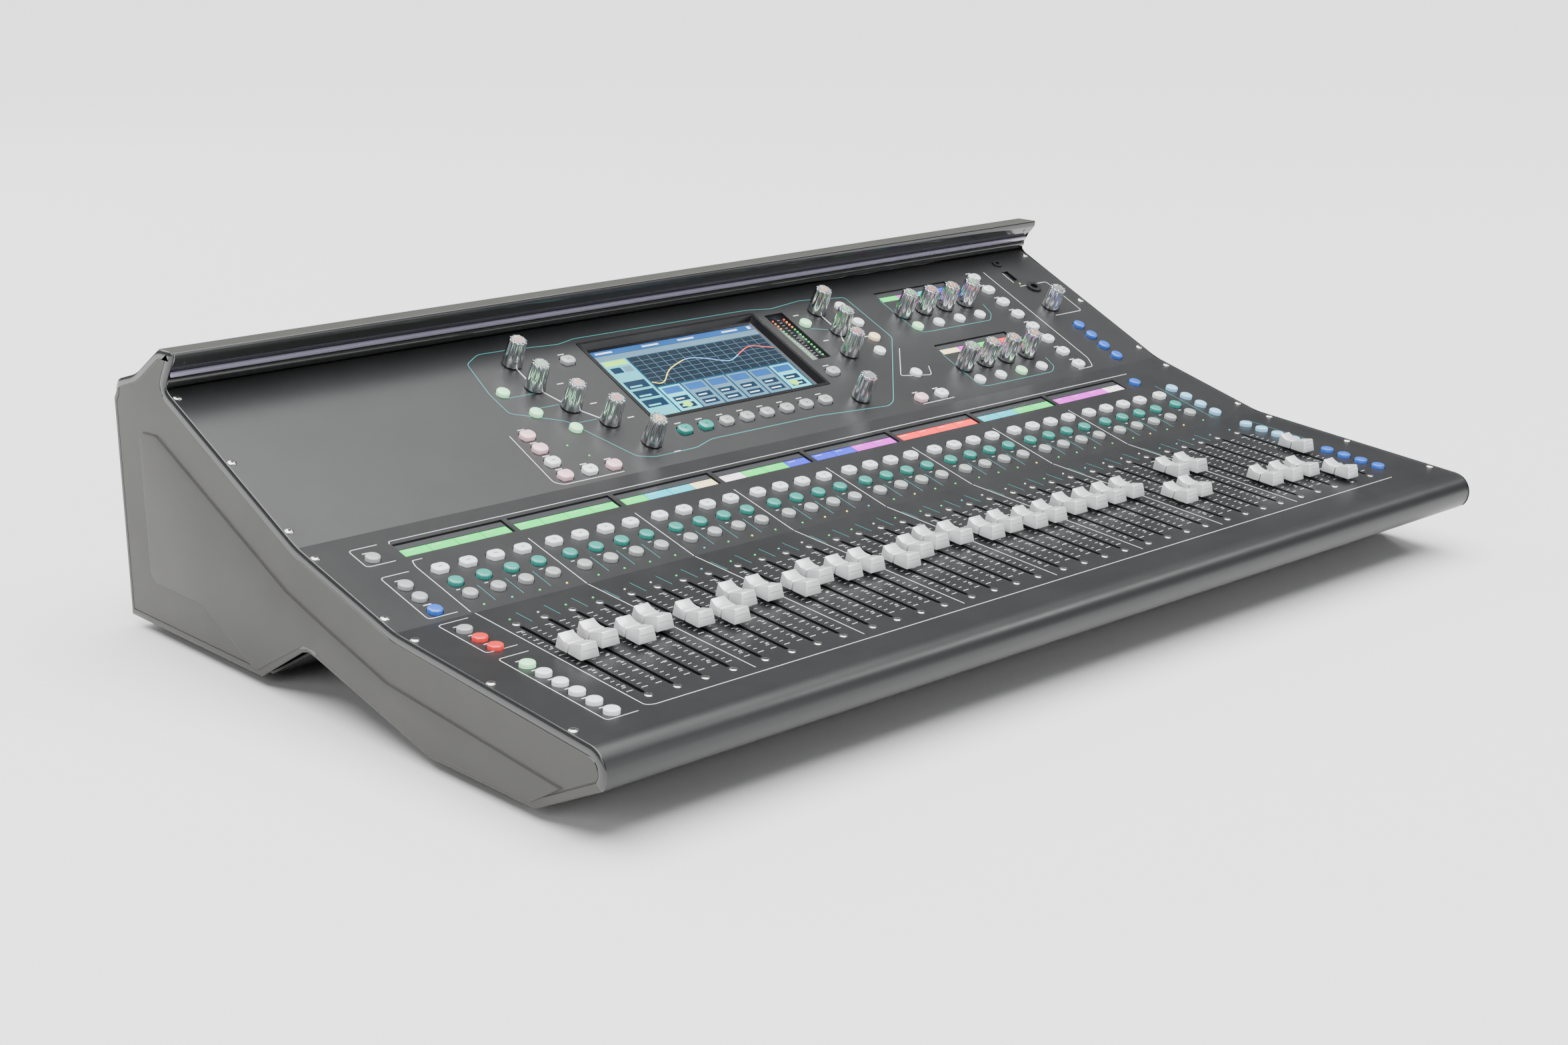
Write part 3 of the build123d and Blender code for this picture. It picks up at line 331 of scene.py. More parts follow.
def finish(name, colour, rough, metal=0.0, grain=1500.0, bump=0.0, deep=0.75, spread=0.12, coat=0.0,
           dust=0.0, glow=None, stretch=(1, 1, 1)):
    """A named finish: a Principled surface fed by the grain and dust groups."""
    if name in _looks:
        return _looks[name]
    material = bpy.data.materials.new(name)
    material.use_nodes = True
    tree = material.node_tree
    shader = tree.nodes["Principled BSDF"]
    where = tree.nodes.new("ShaderNodeTexCoord")
    mapping = tree.nodes.new("ShaderNodeMapping")
    mapping.inputs["Scale"].default_value = stretch
    tree.links.new(where.outputs["Object"], mapping.inputs["Vector"])
    surface = tree.nodes.new("ShaderNodeGroup")
    surface.node_tree = group_named("surface_variation", surface_group)
    surface.inputs["Colour"].default_value = (*colour, 1)
    surface.inputs["Deep Colour"].default_value = (*[c * deep for c in colour], 1)
    surface.inputs["Grain Scale"].default_value = grain
    surface.inputs["Roughness"].default_value = rough
    surface.inputs["Spread"].default_value = spread
    tree.links.new(mapping.outputs["Vector"], surface.inputs["Vector"])
    tint = surface.outputs["Colour"]
    if dust:
        film = tree.nodes.new("ShaderNodeGroup")
        film.node_tree = group_named("settled_dust", dust_group)
        film.inputs["Amount"].default_value = dust
        tree.links.new(mapping.outputs["Vector"], film.inputs["Vector"])
        tree.links.new(tint, film.inputs["Colour"])
        tint = film.outputs["Colour"]
    tree.links.new(tint, shader.inputs["Base Color"])
    tree.links.new(surface.outputs["Roughness"], shader.inputs["Roughness"])
    shader.inputs["Metallic"].default_value = metal
    shader.inputs["Coat Weight"].default_value = coat
    if coat:
        shader.inputs["Coat Roughness"].default_value = 0.08
    if bump:
        relief = tree.nodes.new("ShaderNodeBump")
        relief.inputs["Strength"].default_value = bump
        relief.inputs["Distance"].default_value = 0.0002
        tree.links.new(surface.outputs["Height"], relief.inputs["Height"])
        tree.links.new(relief.outputs["Normal"], shader.inputs["Normal"])
    if glow:
        tree.links.new(tint, shader.inputs["Emission Color"])
        shader.inputs["Emission Strength"].default_value = glow
    _looks[name] = material
    return material


def settings():
    """The sizes and colours set on the panel."""
    return bpy.context.scene.console_settings


def light(colour, strength=1.6):
    """A lit indicator or display patch."""
    return finish(f"{colour}_light", LIGHT_COLOURS[colour], 0.3, grain=900, deep=0.8, glow=strength)


def key_look(colour):
    return finish(f"{colour}_key", KEY_COLOURS[colour], 0.28, grain=700, deep=0.9, coat=0.4,
                  glow=KEY_GLOW.get(colour, 0.0) or None)


def panel_paint():
    return finish("panel_paint", tuple(settings().panel_colour), 0.38, grain=2600, bump=0.10, deep=0.8,
                  spread=0.08, dust=0.015)


def cheek_paint():
    return finish("cheek_paint", tuple(settings().cheek_colour), 0.48, grain=2200, bump=0.55, deep=0.82,
                  spread=0.10, dust=0.03)


def edge_paint():
    return finish("edge_paint", (0.022, 0.0225, 0.0235), 0.24, grain=2600, bump=0.05, deep=0.8, coat=0.35)


def print_white():
    return finish("print_white", tuple(settings().print_colour), 0.5, grain=1800, deep=0.85)


def print_teal():
    return finish("print_teal", tuple(settings().accent_colour), 0.5, grain=1800, deep=0.8)


# ------------------------------------------------------------------ mesh helpers
def new_piece(name, bm, body, looks, stands_for=(), sharp=38):
    """Turns a bmesh drawn in millimetres into a finished piece that rides on a body."""
    bmesh.ops.scale(bm, vec=(MM, MM, MM), verts=bm.verts)
    mesh = bpy.data.meshes.new(name)
    for face in bm.faces:
        face.smooth = True
    bm.to_mesh(mesh)
    bm.free()
    mesh.set_sharp_from_angle(angle=math.radians(sharp))
    piece = bpy.data.objects.new(name, mesh)
    bpy.context.scene.collection.objects.link(piece)
    for look in looks:
        mesh.materials.append(look)
    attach(piece, body)
    if stands_for:
        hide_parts(*stands_for)
    return piece


def stencil(bm):
    """A finished bmesh kept as a mesh, so that it can be stamped many times."""
    mesh = bpy.data.meshes.new("stencil")
    bm.to_mesh(mesh)
    bm.free()
    return mesh


def stamp(target, mesh, place, look=None):
    """Adds a stencil to a bmesh at a place. look overrides every face's material."""
    verts_before = len(target.verts)
    faces_before = len(target.faces)
    target.from_mesh(mesh)
    target.verts.ensure_lookup_table()
    target.faces.ensure_lookup_table()
    bmesh.ops.transform(target, matrix=place, verts=target.verts[verts_before:])
    if look is not None:
        for face in target.faces[faces_before:]:
            face.material_index = look


def on(plane, x, y, height=0.0):
    """A place on a facet's frame."""
    return plane @ Matrix.Translation((x, y, height))


def turned(profile, steps):
    """A closed shape of revolution about Z from (radius, height) points."""
    bm = bmesh.new()
    verts = [bm.verts.new((r, 0, h)) for r, h in profile]
    edges = [bm.edges.new(pair) for pair in zip(verts, verts[1:])]
    bmesh.ops.spin(bm, geom=verts + edges, cent=(0, 0, 0), axis=(0, 0, 1), dvec=(0, 0, 0),
                   angle=math.tau, steps=steps, use_merge=True, use_duplicate=False)
    bmesh.ops.remove_doubles(bm, verts=bm.verts, dist=0.001)
    bmesh.ops.recalc_face_normals(bm, faces=bm.faces)
    return bm


def slab(points, bottom, top):
    """A flat outline in XY made solid between two heights."""
    bm = bmesh.new()
    face = bm.faces.new([bm.verts.new((x, y, bottom)) for x, y in points])
    grown = bmesh.ops.extrude_face_region(bm, geom=[face])
    moved = [g for g in grown["geom"] if isinstance(g, bmesh.types.BMVert)]
    bmesh.ops.translate(bm, vec=(0, 0, top - bottom), verts=moved)
    bmesh.ops.recalc_face_normals(bm, faces=bm.faces)
    return bm


def bar(points, start, end):
    """A side-view outline in YZ made solid between two X positions."""
    bm = bmesh.new()
    face = bm.faces.new([bm.verts.new((start, y, z)) for y, z in points])
    grown = bmesh.ops.extrude_face_region(bm, geom=[face])
    moved = [g for g in grown["geom"] if isinstance(g, bmesh.types.BMVert)]
    bmesh.ops.translate(bm, vec=(end - start, 0, 0), verts=moved)
    bmesh.ops.recalc_face_normals(bm, faces=bm.faces)
    return bm


def soften(bm, edges, offset, segments=3):
    """Rounds edges."""
    bmesh.ops.bevel(bm, geom=list(edges), offset=offset, offset_type="OFFSET", segments=segments, profile=0.5,
                    affect="EDGES", clamp_overlap=True, material=-1)


def sharp_edges(bm, limit=30):
    return [e for e in bm.edges if len(e.link_faces) == 2 and math.degrees(e.calc_face_angle(0)) > limit]


def block(width, depth, bottom, top, edge=0.0):
    """A box centred on Z with softened edges."""
    half_w = width / 2
    half_d = depth / 2
    bm = slab([(-half_w, -half_d), (half_w, -half_d), (half_w, half_d), (-half_w, half_d)], bottom, top)
    if edge:
        soften(bm, bm.edges, edge, 2)
    return bm


def patch(target, plane, low, high, height, look):
    """A thin flat patch between two corners on a facet."""
    width = high[0] - low[0]
    depth = high[1] - low[1]
    mesh = stencil(block(width, depth, -0.01, 0.0))
    stamp(target, mesh, on(plane, low[0] + width / 2, low[1] + depth / 2, height), look)


def rounded(points, radius, closed=False, steps=5):
    """A path with its corners turned into short arcs."""
    out = []
    count = len(points)
    for i, point in enumerate(points):
        here = Vector(point)
        if not closed and i in (0, count - 1):
            out.append(here)
            continue
        back = Vector(points[i - 1]) - here
        ahead = Vector(points[(i + 1) % count]) - here
        reach = min(radius, back.length * 0.45, ahead.length * 0.45)
        start = here + back.normalized() * reach
        end = here + ahead.normalized() * reach
        for k in range(steps + 1):
            t = k / steps
            out.append(start * (1 - t) ** 2 + here * 2 * t * (1 - t) + end * t * t)
    return out


def drawn_lines(paths, width, closed=False, radius=3.0):
    """Printed lines as very flat ribbons in the facet's own frame."""
    curve = bpy.data.curves.new("lines", "CURVE")
    curve.dimensions = "3D"
    curve.bevel_depth = width / 2
    curve.bevel_resolution = 1
    curve.use_fill_caps = True
    for path in paths:
        points = rounded(path, radius, closed)
        spline = curve.splines.new("POLY")
        spline.points.add(len(points) - 1)
        spline.use_cyclic_u = closed
        for slot_point, point in zip(spline.points, points):
            slot_point.co = (point[0], point[1], 0, 1)
    holder = bpy.data.objects.new("lines", curve)
    bpy.context.scene.collection.objects.link(holder)
    bpy.context.view_layer.update()
    mesh = bpy.data.meshes.new_from_object(holder.evaluated_get(bpy.context.evaluated_depsgraph_get()))
    bpy.data.objects.remove(holder)
    mesh.transform(Matrix.Diagonal((1, 1, 0.08 / width, 1)))
    return mesh


# ------------------------------------------------------------------ body
def cheek_points(rise):
    """The cheek's side outline, from under the nose round the top to the rear and back."""
    roll = []
    for k in range(13):
        angle = 225 - k * (225 - 90 - SLOPES["lower"]) / 12
        roll.append(along(NOSE_CENTRE, angle, NOSE_RADIUS + rise))
    corners = [LOWER_BEND, UPPER_BEND, HOOD_FOOT, HOOD_FRONT, HOOD_BACK, REAR_STEP, REAR_TOP]
    path = [roll[-1]] + [(y - rise * 0.5, z + rise * (z < TOP_Z - 1)) for y, z in corners] + [(REAR_Y, 60)]
    top = [(p.x, p.y) for p in rounded(path, 7.0, steps=4)[1:-1]]
    base = [(REAR_Y, REAR_TOP[1] - 12), (REAR_Y, 7.0), ARCH_REAR, (ARCH_PEAK[0] + 8, 35.6),
            (ARCH_PEAK[0], 37.6), (ARCH_PEAK[0] - 9, 35.8), ARCH_FRONT, FRONT_BOTTOM]
    return roll + top + base


def moved_in(points, distance):
    """A clockwise closed outline moved inwards, point for point."""
    count = len(points)
    out = []
    for i, point in enumerate(points):
        here = Vector(point)
        before = (here - Vector(points[i - 1])).normalized()
        after = (Vector(points[(i + 1) % count]) - here).normalized()
        first = Vector((before.y, -before.x))
        second = Vector((after.y, -after.x))
        shift = (first + second) / max(0.35, 1 + first.dot(second))
        out.append(tuple(here + shift * distance))
    return out


def cheek_piece(name, side, node):
    """One end cheek: a dark rounded rim round a textured side face."""
    outline = cheek_points(RIM_RISE)
    flank = HALF_WIDTH - 0.9
    inner = PANEL_HALF + 0.3
    layers = [(PANEL_HALF, 0.35), (inner, 0.0)]
    for k in range(1, 8):
        angle = math.radians(90 * k / 7)
        x = inner + (flank - inner) * math.sin(angle)
        layers.append((x, 4.6 * (1 - math.cos(angle))))
    layers += [(flank, 5.0), (flank - 0.45, 5.3), (flank - 0.45, 5.7), (flank, 6.0)]
    bm = bmesh.new()
    rings = []
    for x, inset in layers:
        rings.append([bm.verts.new((side * x, y, z)) for y, z in moved_in(outline, inset)])
    count = len(outline)
    for low, high in zip(rings, rings[1:]):
        for i in range(count):
            j = (i + 1) % count
            bm.faces.new((low[i], low[j], high[j], high[i]))
    bm.faces.new(rings[0])
    bm.faces.new(rings[-1])
    bmesh.ops.recalc_face_normals(bm, faces=bm.faces)
    mark_flank(bm, side, flank)
    ledge = bar(moved_in(cheek_points(0), 5.0), side * INNER_HALF, side * (PANEL_HALF + 0.01))
    stamp(bm, stencil(ledge), Matrix.Identity(4), 1)
    stamp(bm, stencil(cheek_pad(side)), Matrix.Identity(4), 1)
    return new_piece(name, bm, "chassis", [edge_paint(), cheek_paint()], [node], 30)


def mark_flank(bm, side, flank):
    """Gives a cheek's side face, rear edge and bottom edge the textured paint."""
    for face in bm.faces:
        middle = face.calc_center_median()
        on_flank = abs(middle.x * side - flank) < 0.1 and len(face.verts) > 4
        behind = middle.y > REAR_Y - 12 and middle.z < REAR_STEP[1] - 12
        below = middle.z < 39 and middle.y > FRONT_Y + 20
        if on_flank or behind or below:
            face.material_index = 1


def cheek_pad(side):
    """The large raised pad on a cheek's outer face."""
    outline = [
        (200, 141), (218, 140), (223.5, 134), (223, 44), (217, 38), (157, 38), (98, 12), (90, 11.5),
        (34, 41), (20, 41), (-97, 10.5), (-192, 10.5), (-222, 27.5), (-56.4, 42.6), (6.7, 59.8), (49, 72.2),
    ]
    bm = bar(outline, side * (HALF_WIDTH - 1.6), side * HALF_WIDTH)
    outer = max(bm.faces, key=lambda f: f.normal.x * side)
    soften(bm, list(outer.edges), 1.2, 3)
    return bm


def hood_piece():
    """The hood: pale top, black front with rounded lips, and the rear slope."""
    foot = HOOD_FOOT
    front = HOOD_FRONT
    lean = (foot[0] + (front[0] - foot[0]) * 0.62, foot[1] + (front[1] - foot[1]) * 0.62)
    low = (foot[0] + (front[0] - foot[0]) * 0.18, foot[1] + (front[1] - foot[1]) * 0.18)
    share = (FACE_Y - REAR_STEP[0]) / (REAR_TOP[0] - REAR_STEP[0])
    rear_z = REAR_STEP[1] + (REAR_TOP[1] - REAR_STEP[1]) * share
    skin = [
        (foot[0] + 6, foot[1] + 0.4), (foot[0] - 0.4, foot[1] + 0.4), (low[0] - 2.0, low[1]),
        (low[0] - 1.6, low[1] + 2.4), (low[0] + 1.4, low[1] + 2.8), (lean[0] + 1.4, lean[1] - 1.5),
        (lean[0] - 0.8, lean[1]), (front[0] + 0.6, front[1] - 4.4), front, HOOD_BACK, REAR_STEP,
        (FACE_Y, rear_z),
    ]
    outline = [(p.x, p.y) for p in rounded(skin, 1.6, steps=4)]
    outline += [(FACE_Y, rear_z - 2.5), (REAR_STEP[0] - 1, REAR_STEP[1] - 3), (HOOD_BACK[0] - 1, TOP_Z - 4)]
    bm = bar(outline, -(PANEL_HALF + 0.2), PANEL_HALF + 0.2)
    for face in bm.faces:
        if face.normal.z > 0.55 and face.calc_center_median().z > REAR_STEP[1] - 10:
            face.material_index = 1
    look_top = finish("hood_paint", (0.075, 0.075, 0.069), 0.34, grain=2200, bump=0.15, deep=0.85, dust=0.04)
    heading = math.degrees(math.atan2(front[1] - foot[1], front[0] - foot[0]))
    spot = along(foot, heading, math.hypot(front[0] - foot[0], front[1] - foot[1]) * 0.72)
    head = stencil(dome_screw(1.9, 0.7))
    for x in (-(PANEL_HALF - 9), -200, 0, 200, PANEL_HALF - 9):
        turn = Matrix.Rotation(math.radians(heading), 4, "X")
        stamp(bm, head, Matrix.Translation((x, spot[0] - 1.0, spot[1])) @ turn, 0)
    return new_piece("hood", bm, "chassis", [edge_paint(), look_top], ["rear_hood"], 25)


def light_strip():
    """The pale lamp cover set into the hood's front."""
    foot = HOOD_FOOT
    front = HOOD_FRONT
    heading = math.degrees(math.atan2(front[1] - foot[1], front[0] - foot[0]))
    rise = math.hypot(front[0] - foot[0], front[1] - foot[1])
    centre = along(foot, heading, rise * 0.40)
    bm = block(2 * PANEL_HALF - 2, 3.4, -1.0, 1.1, 0.45)
    place = Matrix.Translation((0, *centre)) @ Matrix.Rotation(math.radians(heading), 4, "X")
    bmesh.ops.transform(bm, matrix=place, verts=bm.verts)
    look = finish("lamp_cover", (0.30, 0.28, 0.38), 0.3, grain=900, deep=0.85, coat=0.5, glow=0.08)
    return new_piece("hood_lamp_cover", bm, "chassis", [look])


def dome_screw(radius, rise):
    """A low domed screw head with a hexagonal socket, drawn as a flat disc that takes the second material as
    painted shade.
    """
    profile = [
        (0, rise), (radius * 0.5, rise), (radius * 0.8, rise * 0.82), (radius, rise * 0.25), (radius, -0.2),
    ]
    bm = turned(profile, 24)
    # The socket is no recess: its flat disc gets the second material, painted shade where the hollow would
    # be.
    socket = bmesh.ops.create_circle(bm, cap_ends=True, segments=6, radius=radius * 0.42,
                                     matrix=Matrix.Translation((0, 0, rise + 0.01)))
    for vert in socket["verts"]:
        for face in vert.link_faces:
            face.material_index = 1
    return bm


# ------------------------------------------------------------------ controls
KNOB_FLUTES = 10
KNOB_LIFT = 0.8
KNOB_HEIGHT = 20.0
HEADPHONE_KNOB_HEIGHT = 18.0
SHAFT_RADIUS = 2.9
SHAFT_DEPTH = 8.4
CAP_FOOT = 3.2
KEY_STEM = 2.4


def knob_mesh(height):
    """A tapered, fluted knob with a plain skirt and a flat top disc."""
    base = settings().knob_base_radius / MM
    top = settings().knob_top_radius / MM
    lift = KNOB_LIFT
    profile = [(base - 1.2, lift), (base, lift), (base, lift + 0.5)]
    for k in range(1, 13):
        t = k / 12
        profile.append((base + (top - base) * t, lift + 0.5 + (height - 1.1) * t))
    profile += [(top - 0.2, lift + height - 0.25), (top - 0.6, lift + height), (top - 1.5, lift + height),
                (top - 1.6, lift + height - 0.25), (0.01, lift + height - 0.25)]
    bm = turned(profile, 90)
    for vert in bm.verts:
        x, y, z = vert.co
        radius = math.hypot(x, y)
        share = (z - lift) / height
        if radius < top - 0.9 or share < 0.2:
            continue
        wave = 0.5 + 0.5 * math.cos(math.atan2(y, x) * KNOB_FLUTES)
        bite = 1.25 * wave ** 1.5 * min(1, (share - 0.2) / 0.25)
        scale = (radius - bite) / radius
        vert.co = (x * scale, y * scale, z)
    for face in bm.faces:
        middle = face.calc_center_median()
        if math.hypot(middle.x, middle.y) < top - 1.6 and middle.z > lift + height / 2:
            face.material_index = 1
    return bm


def knob_piece(name, place):
    """One knob with its shaft and the ring of light on its top."""
    x, y, colour = place
    height = HEADPHONE_KNOB_HEIGHT if name == "headphone_knob" else KNOB_HEIGHT
    bm = knob_mesh(height)
    side = [(0.01, 1.4), (SHAFT_RADIUS, 1.4), (SHAFT_RADIUS, -SHAFT_DEPTH), (0.01, -SHAFT_DEPTH)]
    shaft = stencil(turned(side, 24))
    stamp(bm, shaft, Matrix.Identity(4), 2)
    top = KNOB_LIFT + height
    if colour:
        dot = stencil(turned([(0.01, 0.12), (0.42, 0.1), (0.5, 0.0), (0.5, -0.1)], 10))
        for k in range(8):
            turn = Matrix.Rotation(math.tau * k / 8, 4, "Z")
            stamp(bm, dot, turn @ Matrix.Translation((1.9, 0, top - 0.24)), 3)
    line = stencil(block(0.7, 2.6, -0.1, 0.08))
    stamp(bm, line, Matrix.Translation((0, 3.2, top - 0.22)), 4)
    bmesh.ops.transform(bm, matrix=on(facet("upper"), x, y), verts=bm.verts)
    chrome = finish("knob_chrome", tuple(settings().knob_colour), 0.12, 1.0, 900, 0.02, 0.92, 0.06)
    disc = finish("knob_disc", (0.42, 0.43, 0.44), 0.32, 0.7, 1400, 0.05, 0.9)
    shaft_steel = finish("shaft_steel", (0.4, 0.4, 0.41), 0.35, 1.0, 900)
    lamp = light(colour, 2.0) if colour else disc
    mark = finish("knob_mark", (0.85, 0.85, 0.84), 0.4, grain=900, deep=0.9)
    looks = [chrome, disc, shaft_steel, lamp, mark]
    return new_piece(f"{name}_cap", bm, name, looks, [name], 32)


def flare(bm, amount):
    """Widens the foot of a fader cap lobe."""
    for vert in bm.verts:
        vert.co.x *= 1 + amount * max(0.0, 11.0 - vert.co.z) / 8


def fader_cap():
    """A two-lobed cap: scooped rear, dark gap and a bevelled front."""
    half = settings().cap_width / MM / 2
    shares = (0, 0.12, 0.28, 0.45, 0.62, 0.8, 1.0)
    scoop = [(11.2 - 9.4 * t, 11.5 - 2.6 * t - 4.6 * t * (1 - t)) for t in shares]
    rear = bar([(11.8, CAP_FOOT)] + scoop + [(1.1, 8.3), (1.1, CAP_FOOT)], -half, half)
    flare(rear, 0.24)
    soften(rear, sharp_edges(rear, 40), 0.4, 2)
    slope = [(0.3, CAP_FOOT), (0.3, 8.6), (-1.2, 9.6), (-9.4, 11.8), (-10.2, 11.6), (-12.0, 3.0)]
    front = bar(slope, -half, half)
    flare(front, 0.24)
    soften(front, sharp_edges(front, 40), 0.55, 2)
    for face in front.faces:
        if face.normal.z > 0.9 and face.calc_area() > 30:
            face.material_index = 1
    core = block(9.6, 22.0, 3.6, 8.0)
    bm = bmesh.new()
    stamp(bm, stencil(rear), Matrix.Identity(4))
    stamp(bm, stencil(front), Matrix.Identity(4))
    stamp(bm, stencil(core), Matrix.Identity(4), 2)
    stamp(bm, stencil(block(1.2, 6.0, -9.0, 4.0)), Matrix.Identity(4), 3)
    return stencil(bm)


def cap_looks():
    silver = finish("cap_silver", tuple(settings().cap_colour), 0.32, 0.35, 1600, 0.08, 0.93, 0.08)
    flat = finish("cap_flat", (0.60, 0.61, 0.62), 0.38, 0.35, 1600, 0.08, 0.92, 0.08)
    gap = finish("cap_gap", (0.02, 0.02, 0.022), 0.6, grain=900)
    steel = finish("shaft_steel", (0.4, 0.4, 0.41), 0.35, 1.0, 900)
    return [silver, flat, gap, steel]


def fader_pieces():
    """Every fader cap, two to a body as they travel, and the master."""
    cap = fader_cap()
    plane = facet("lower")
    for pair in range(STRIP_COUNT // 2):
        name = f"fader_pair_{pair + 1:02d}"
        bm = bmesh.new()
        for index in (2 * pair, 2 * pair + 1):
            stamp(bm, cap, on(plane, STRIP_XS[index], SLOT_CENTRE_Y - FADER_REST[index]))
        new_piece(f"{name}_caps", bm, name, cap_looks(), [name], 30)
    bm = bmesh.new()
    stamp(bm, cap, on(plane, MASTER_X, SLOT_CENTRE_Y - MASTER_REST))
    new_piece("master_fader_cap", bm, "master_fader", cap_looks(), ["master_fader"], 30)


def round_key():
    """A round key with a softly domed top."""
    r = settings().round_key_radius / MM
    profile = [
        (r, -KEY_STEM), (r, 1.7), (r - 0.2, 2.2), (r - 0.65, 2.5), (r - 1.75, 2.62), (1.5, 2.68),
        (0.01, 2.7),
    ]
    return stencil(turned(profile, 30))


def hex_key():
    """A long six-sided key with rounded corners and top."""
    outline = [(6.1, 0), (4.1, 4.4), (-4.1, 4.4), (-6.1, 0), (-4.1, -4.4), (4.1, -4.4)]
    points = [(p.x, p.y) for p in rounded(outline, 2.4, True, 4)]
    bm = slab(points, -KEY_STEM, 2.6)
    top = max(bm.faces, key=lambda f: f.calc_center_median().z)
    soften(bm, list(top.edges), 0.75, 3)
    return stencil(bm)


def dash_window():
    """The small dark legend window on a key's top."""
    return stencil(block(2.6, 0.55, 0.0, 0.05))


def key_bank(name, plane_name, groups):
    """A bank of keys. groups pairs a stencil with its keys, each x, y and colour."""
    plane = facet(plane_name)
    colours = sorted({look for _, keys in groups for _, _, look in keys})
    bm = bmesh.new()
    dash = dash_window()
    dark = len(colours)
    for mesh, keys in groups:
        for x, y, look in keys:
            stamp(bm, mesh, on(plane, x, y), colours.index(look))
            if look in ("grey", "teal", "white"):
                stamp(bm, dash, on(plane, x, y, 2.62), dark)
    window = finish("key_window", (0.05, 0.055, 0.06), 0.25, grain=900)
    return new_piece(f"{name}_caps", bm, name, [key_look(c) for c in colours] + [window], [name], 40)


def key_pieces():
    """Every bank of keys."""
    rounds = round_key()
    hexes = hex_key()
    for row, look, slot in (("select", "white", "select_white"), ("mute", "teal", "mute_teal"),
                            ("listen", "grey", "listen_grey")):
        mesh = hexes if row == "select" else rounds
        key_bank(f"{row}_keys", "middle", [(mesh, [(x, STRIP_ROWS[row], look) for x in KEY_XS])])
    key_bank("soft_keys", "upper", [(hexes, SOFT_KEYS)])
    key_bank("upper_keys", "upper", [(hexes, SCREEN_KEYS), (rounds, PROCESSING_KEYS)])
    key_bank("middle_keys", "middle", [(rounds, MIDDLE_KEYS)])
    key_bank("lower_keys", "lower", [(rounds, LOWER_KEYS)])


def indicator_piece():
    """The small lights under each strip, beside keys and at the sockets."""
    lamp = stencil(turned([(0.01, 0.45), (0.45, 0.38), (0.7, 0.1), (0.75, -0.2)], 12))
    random.seed(7)
    colours = ["green", "cyan", "yellow", "pale"]
    bm = bmesh.new()
    for x in KEY_XS:
        stamp(bm, lamp, on(facet("middle"), x + 1.0, 5.9), random.choice([0, 0, 0, 1, 2]))
        stamp(bm, lamp, on(facet("lower"), x + 1.0, 160.5), random.choice([0, 1, 3]))
    stamp(bm, lamp, on(facet("upper"), 355.0, 121.5), 2)
    for x, y in ((-163.5, 26.0), (-172.0, 40.0)):
        stamp(bm, lamp, on(facet("upper"), x, y), 0)
    return new_piece("indicator_lights", bm, "chassis", [light(c) for c in colours], sharp=50)


# ------------------------------------------------------------------ displays
SCREEN_LOW = (-85.0, 53.5)
SCREEN_HIGH = (67.5, 134.5)


def screen_point(across, up):
    """A place on the screen picture from shares of its width and height."""
    return (SCREEN_LOW[0] + (SCREEN_HIGH[0] - SCREEN_LOW[0]) * across,
            SCREEN_LOW[1] + (SCREEN_HIGH[1] - SCREEN_LOW[1]) * up)


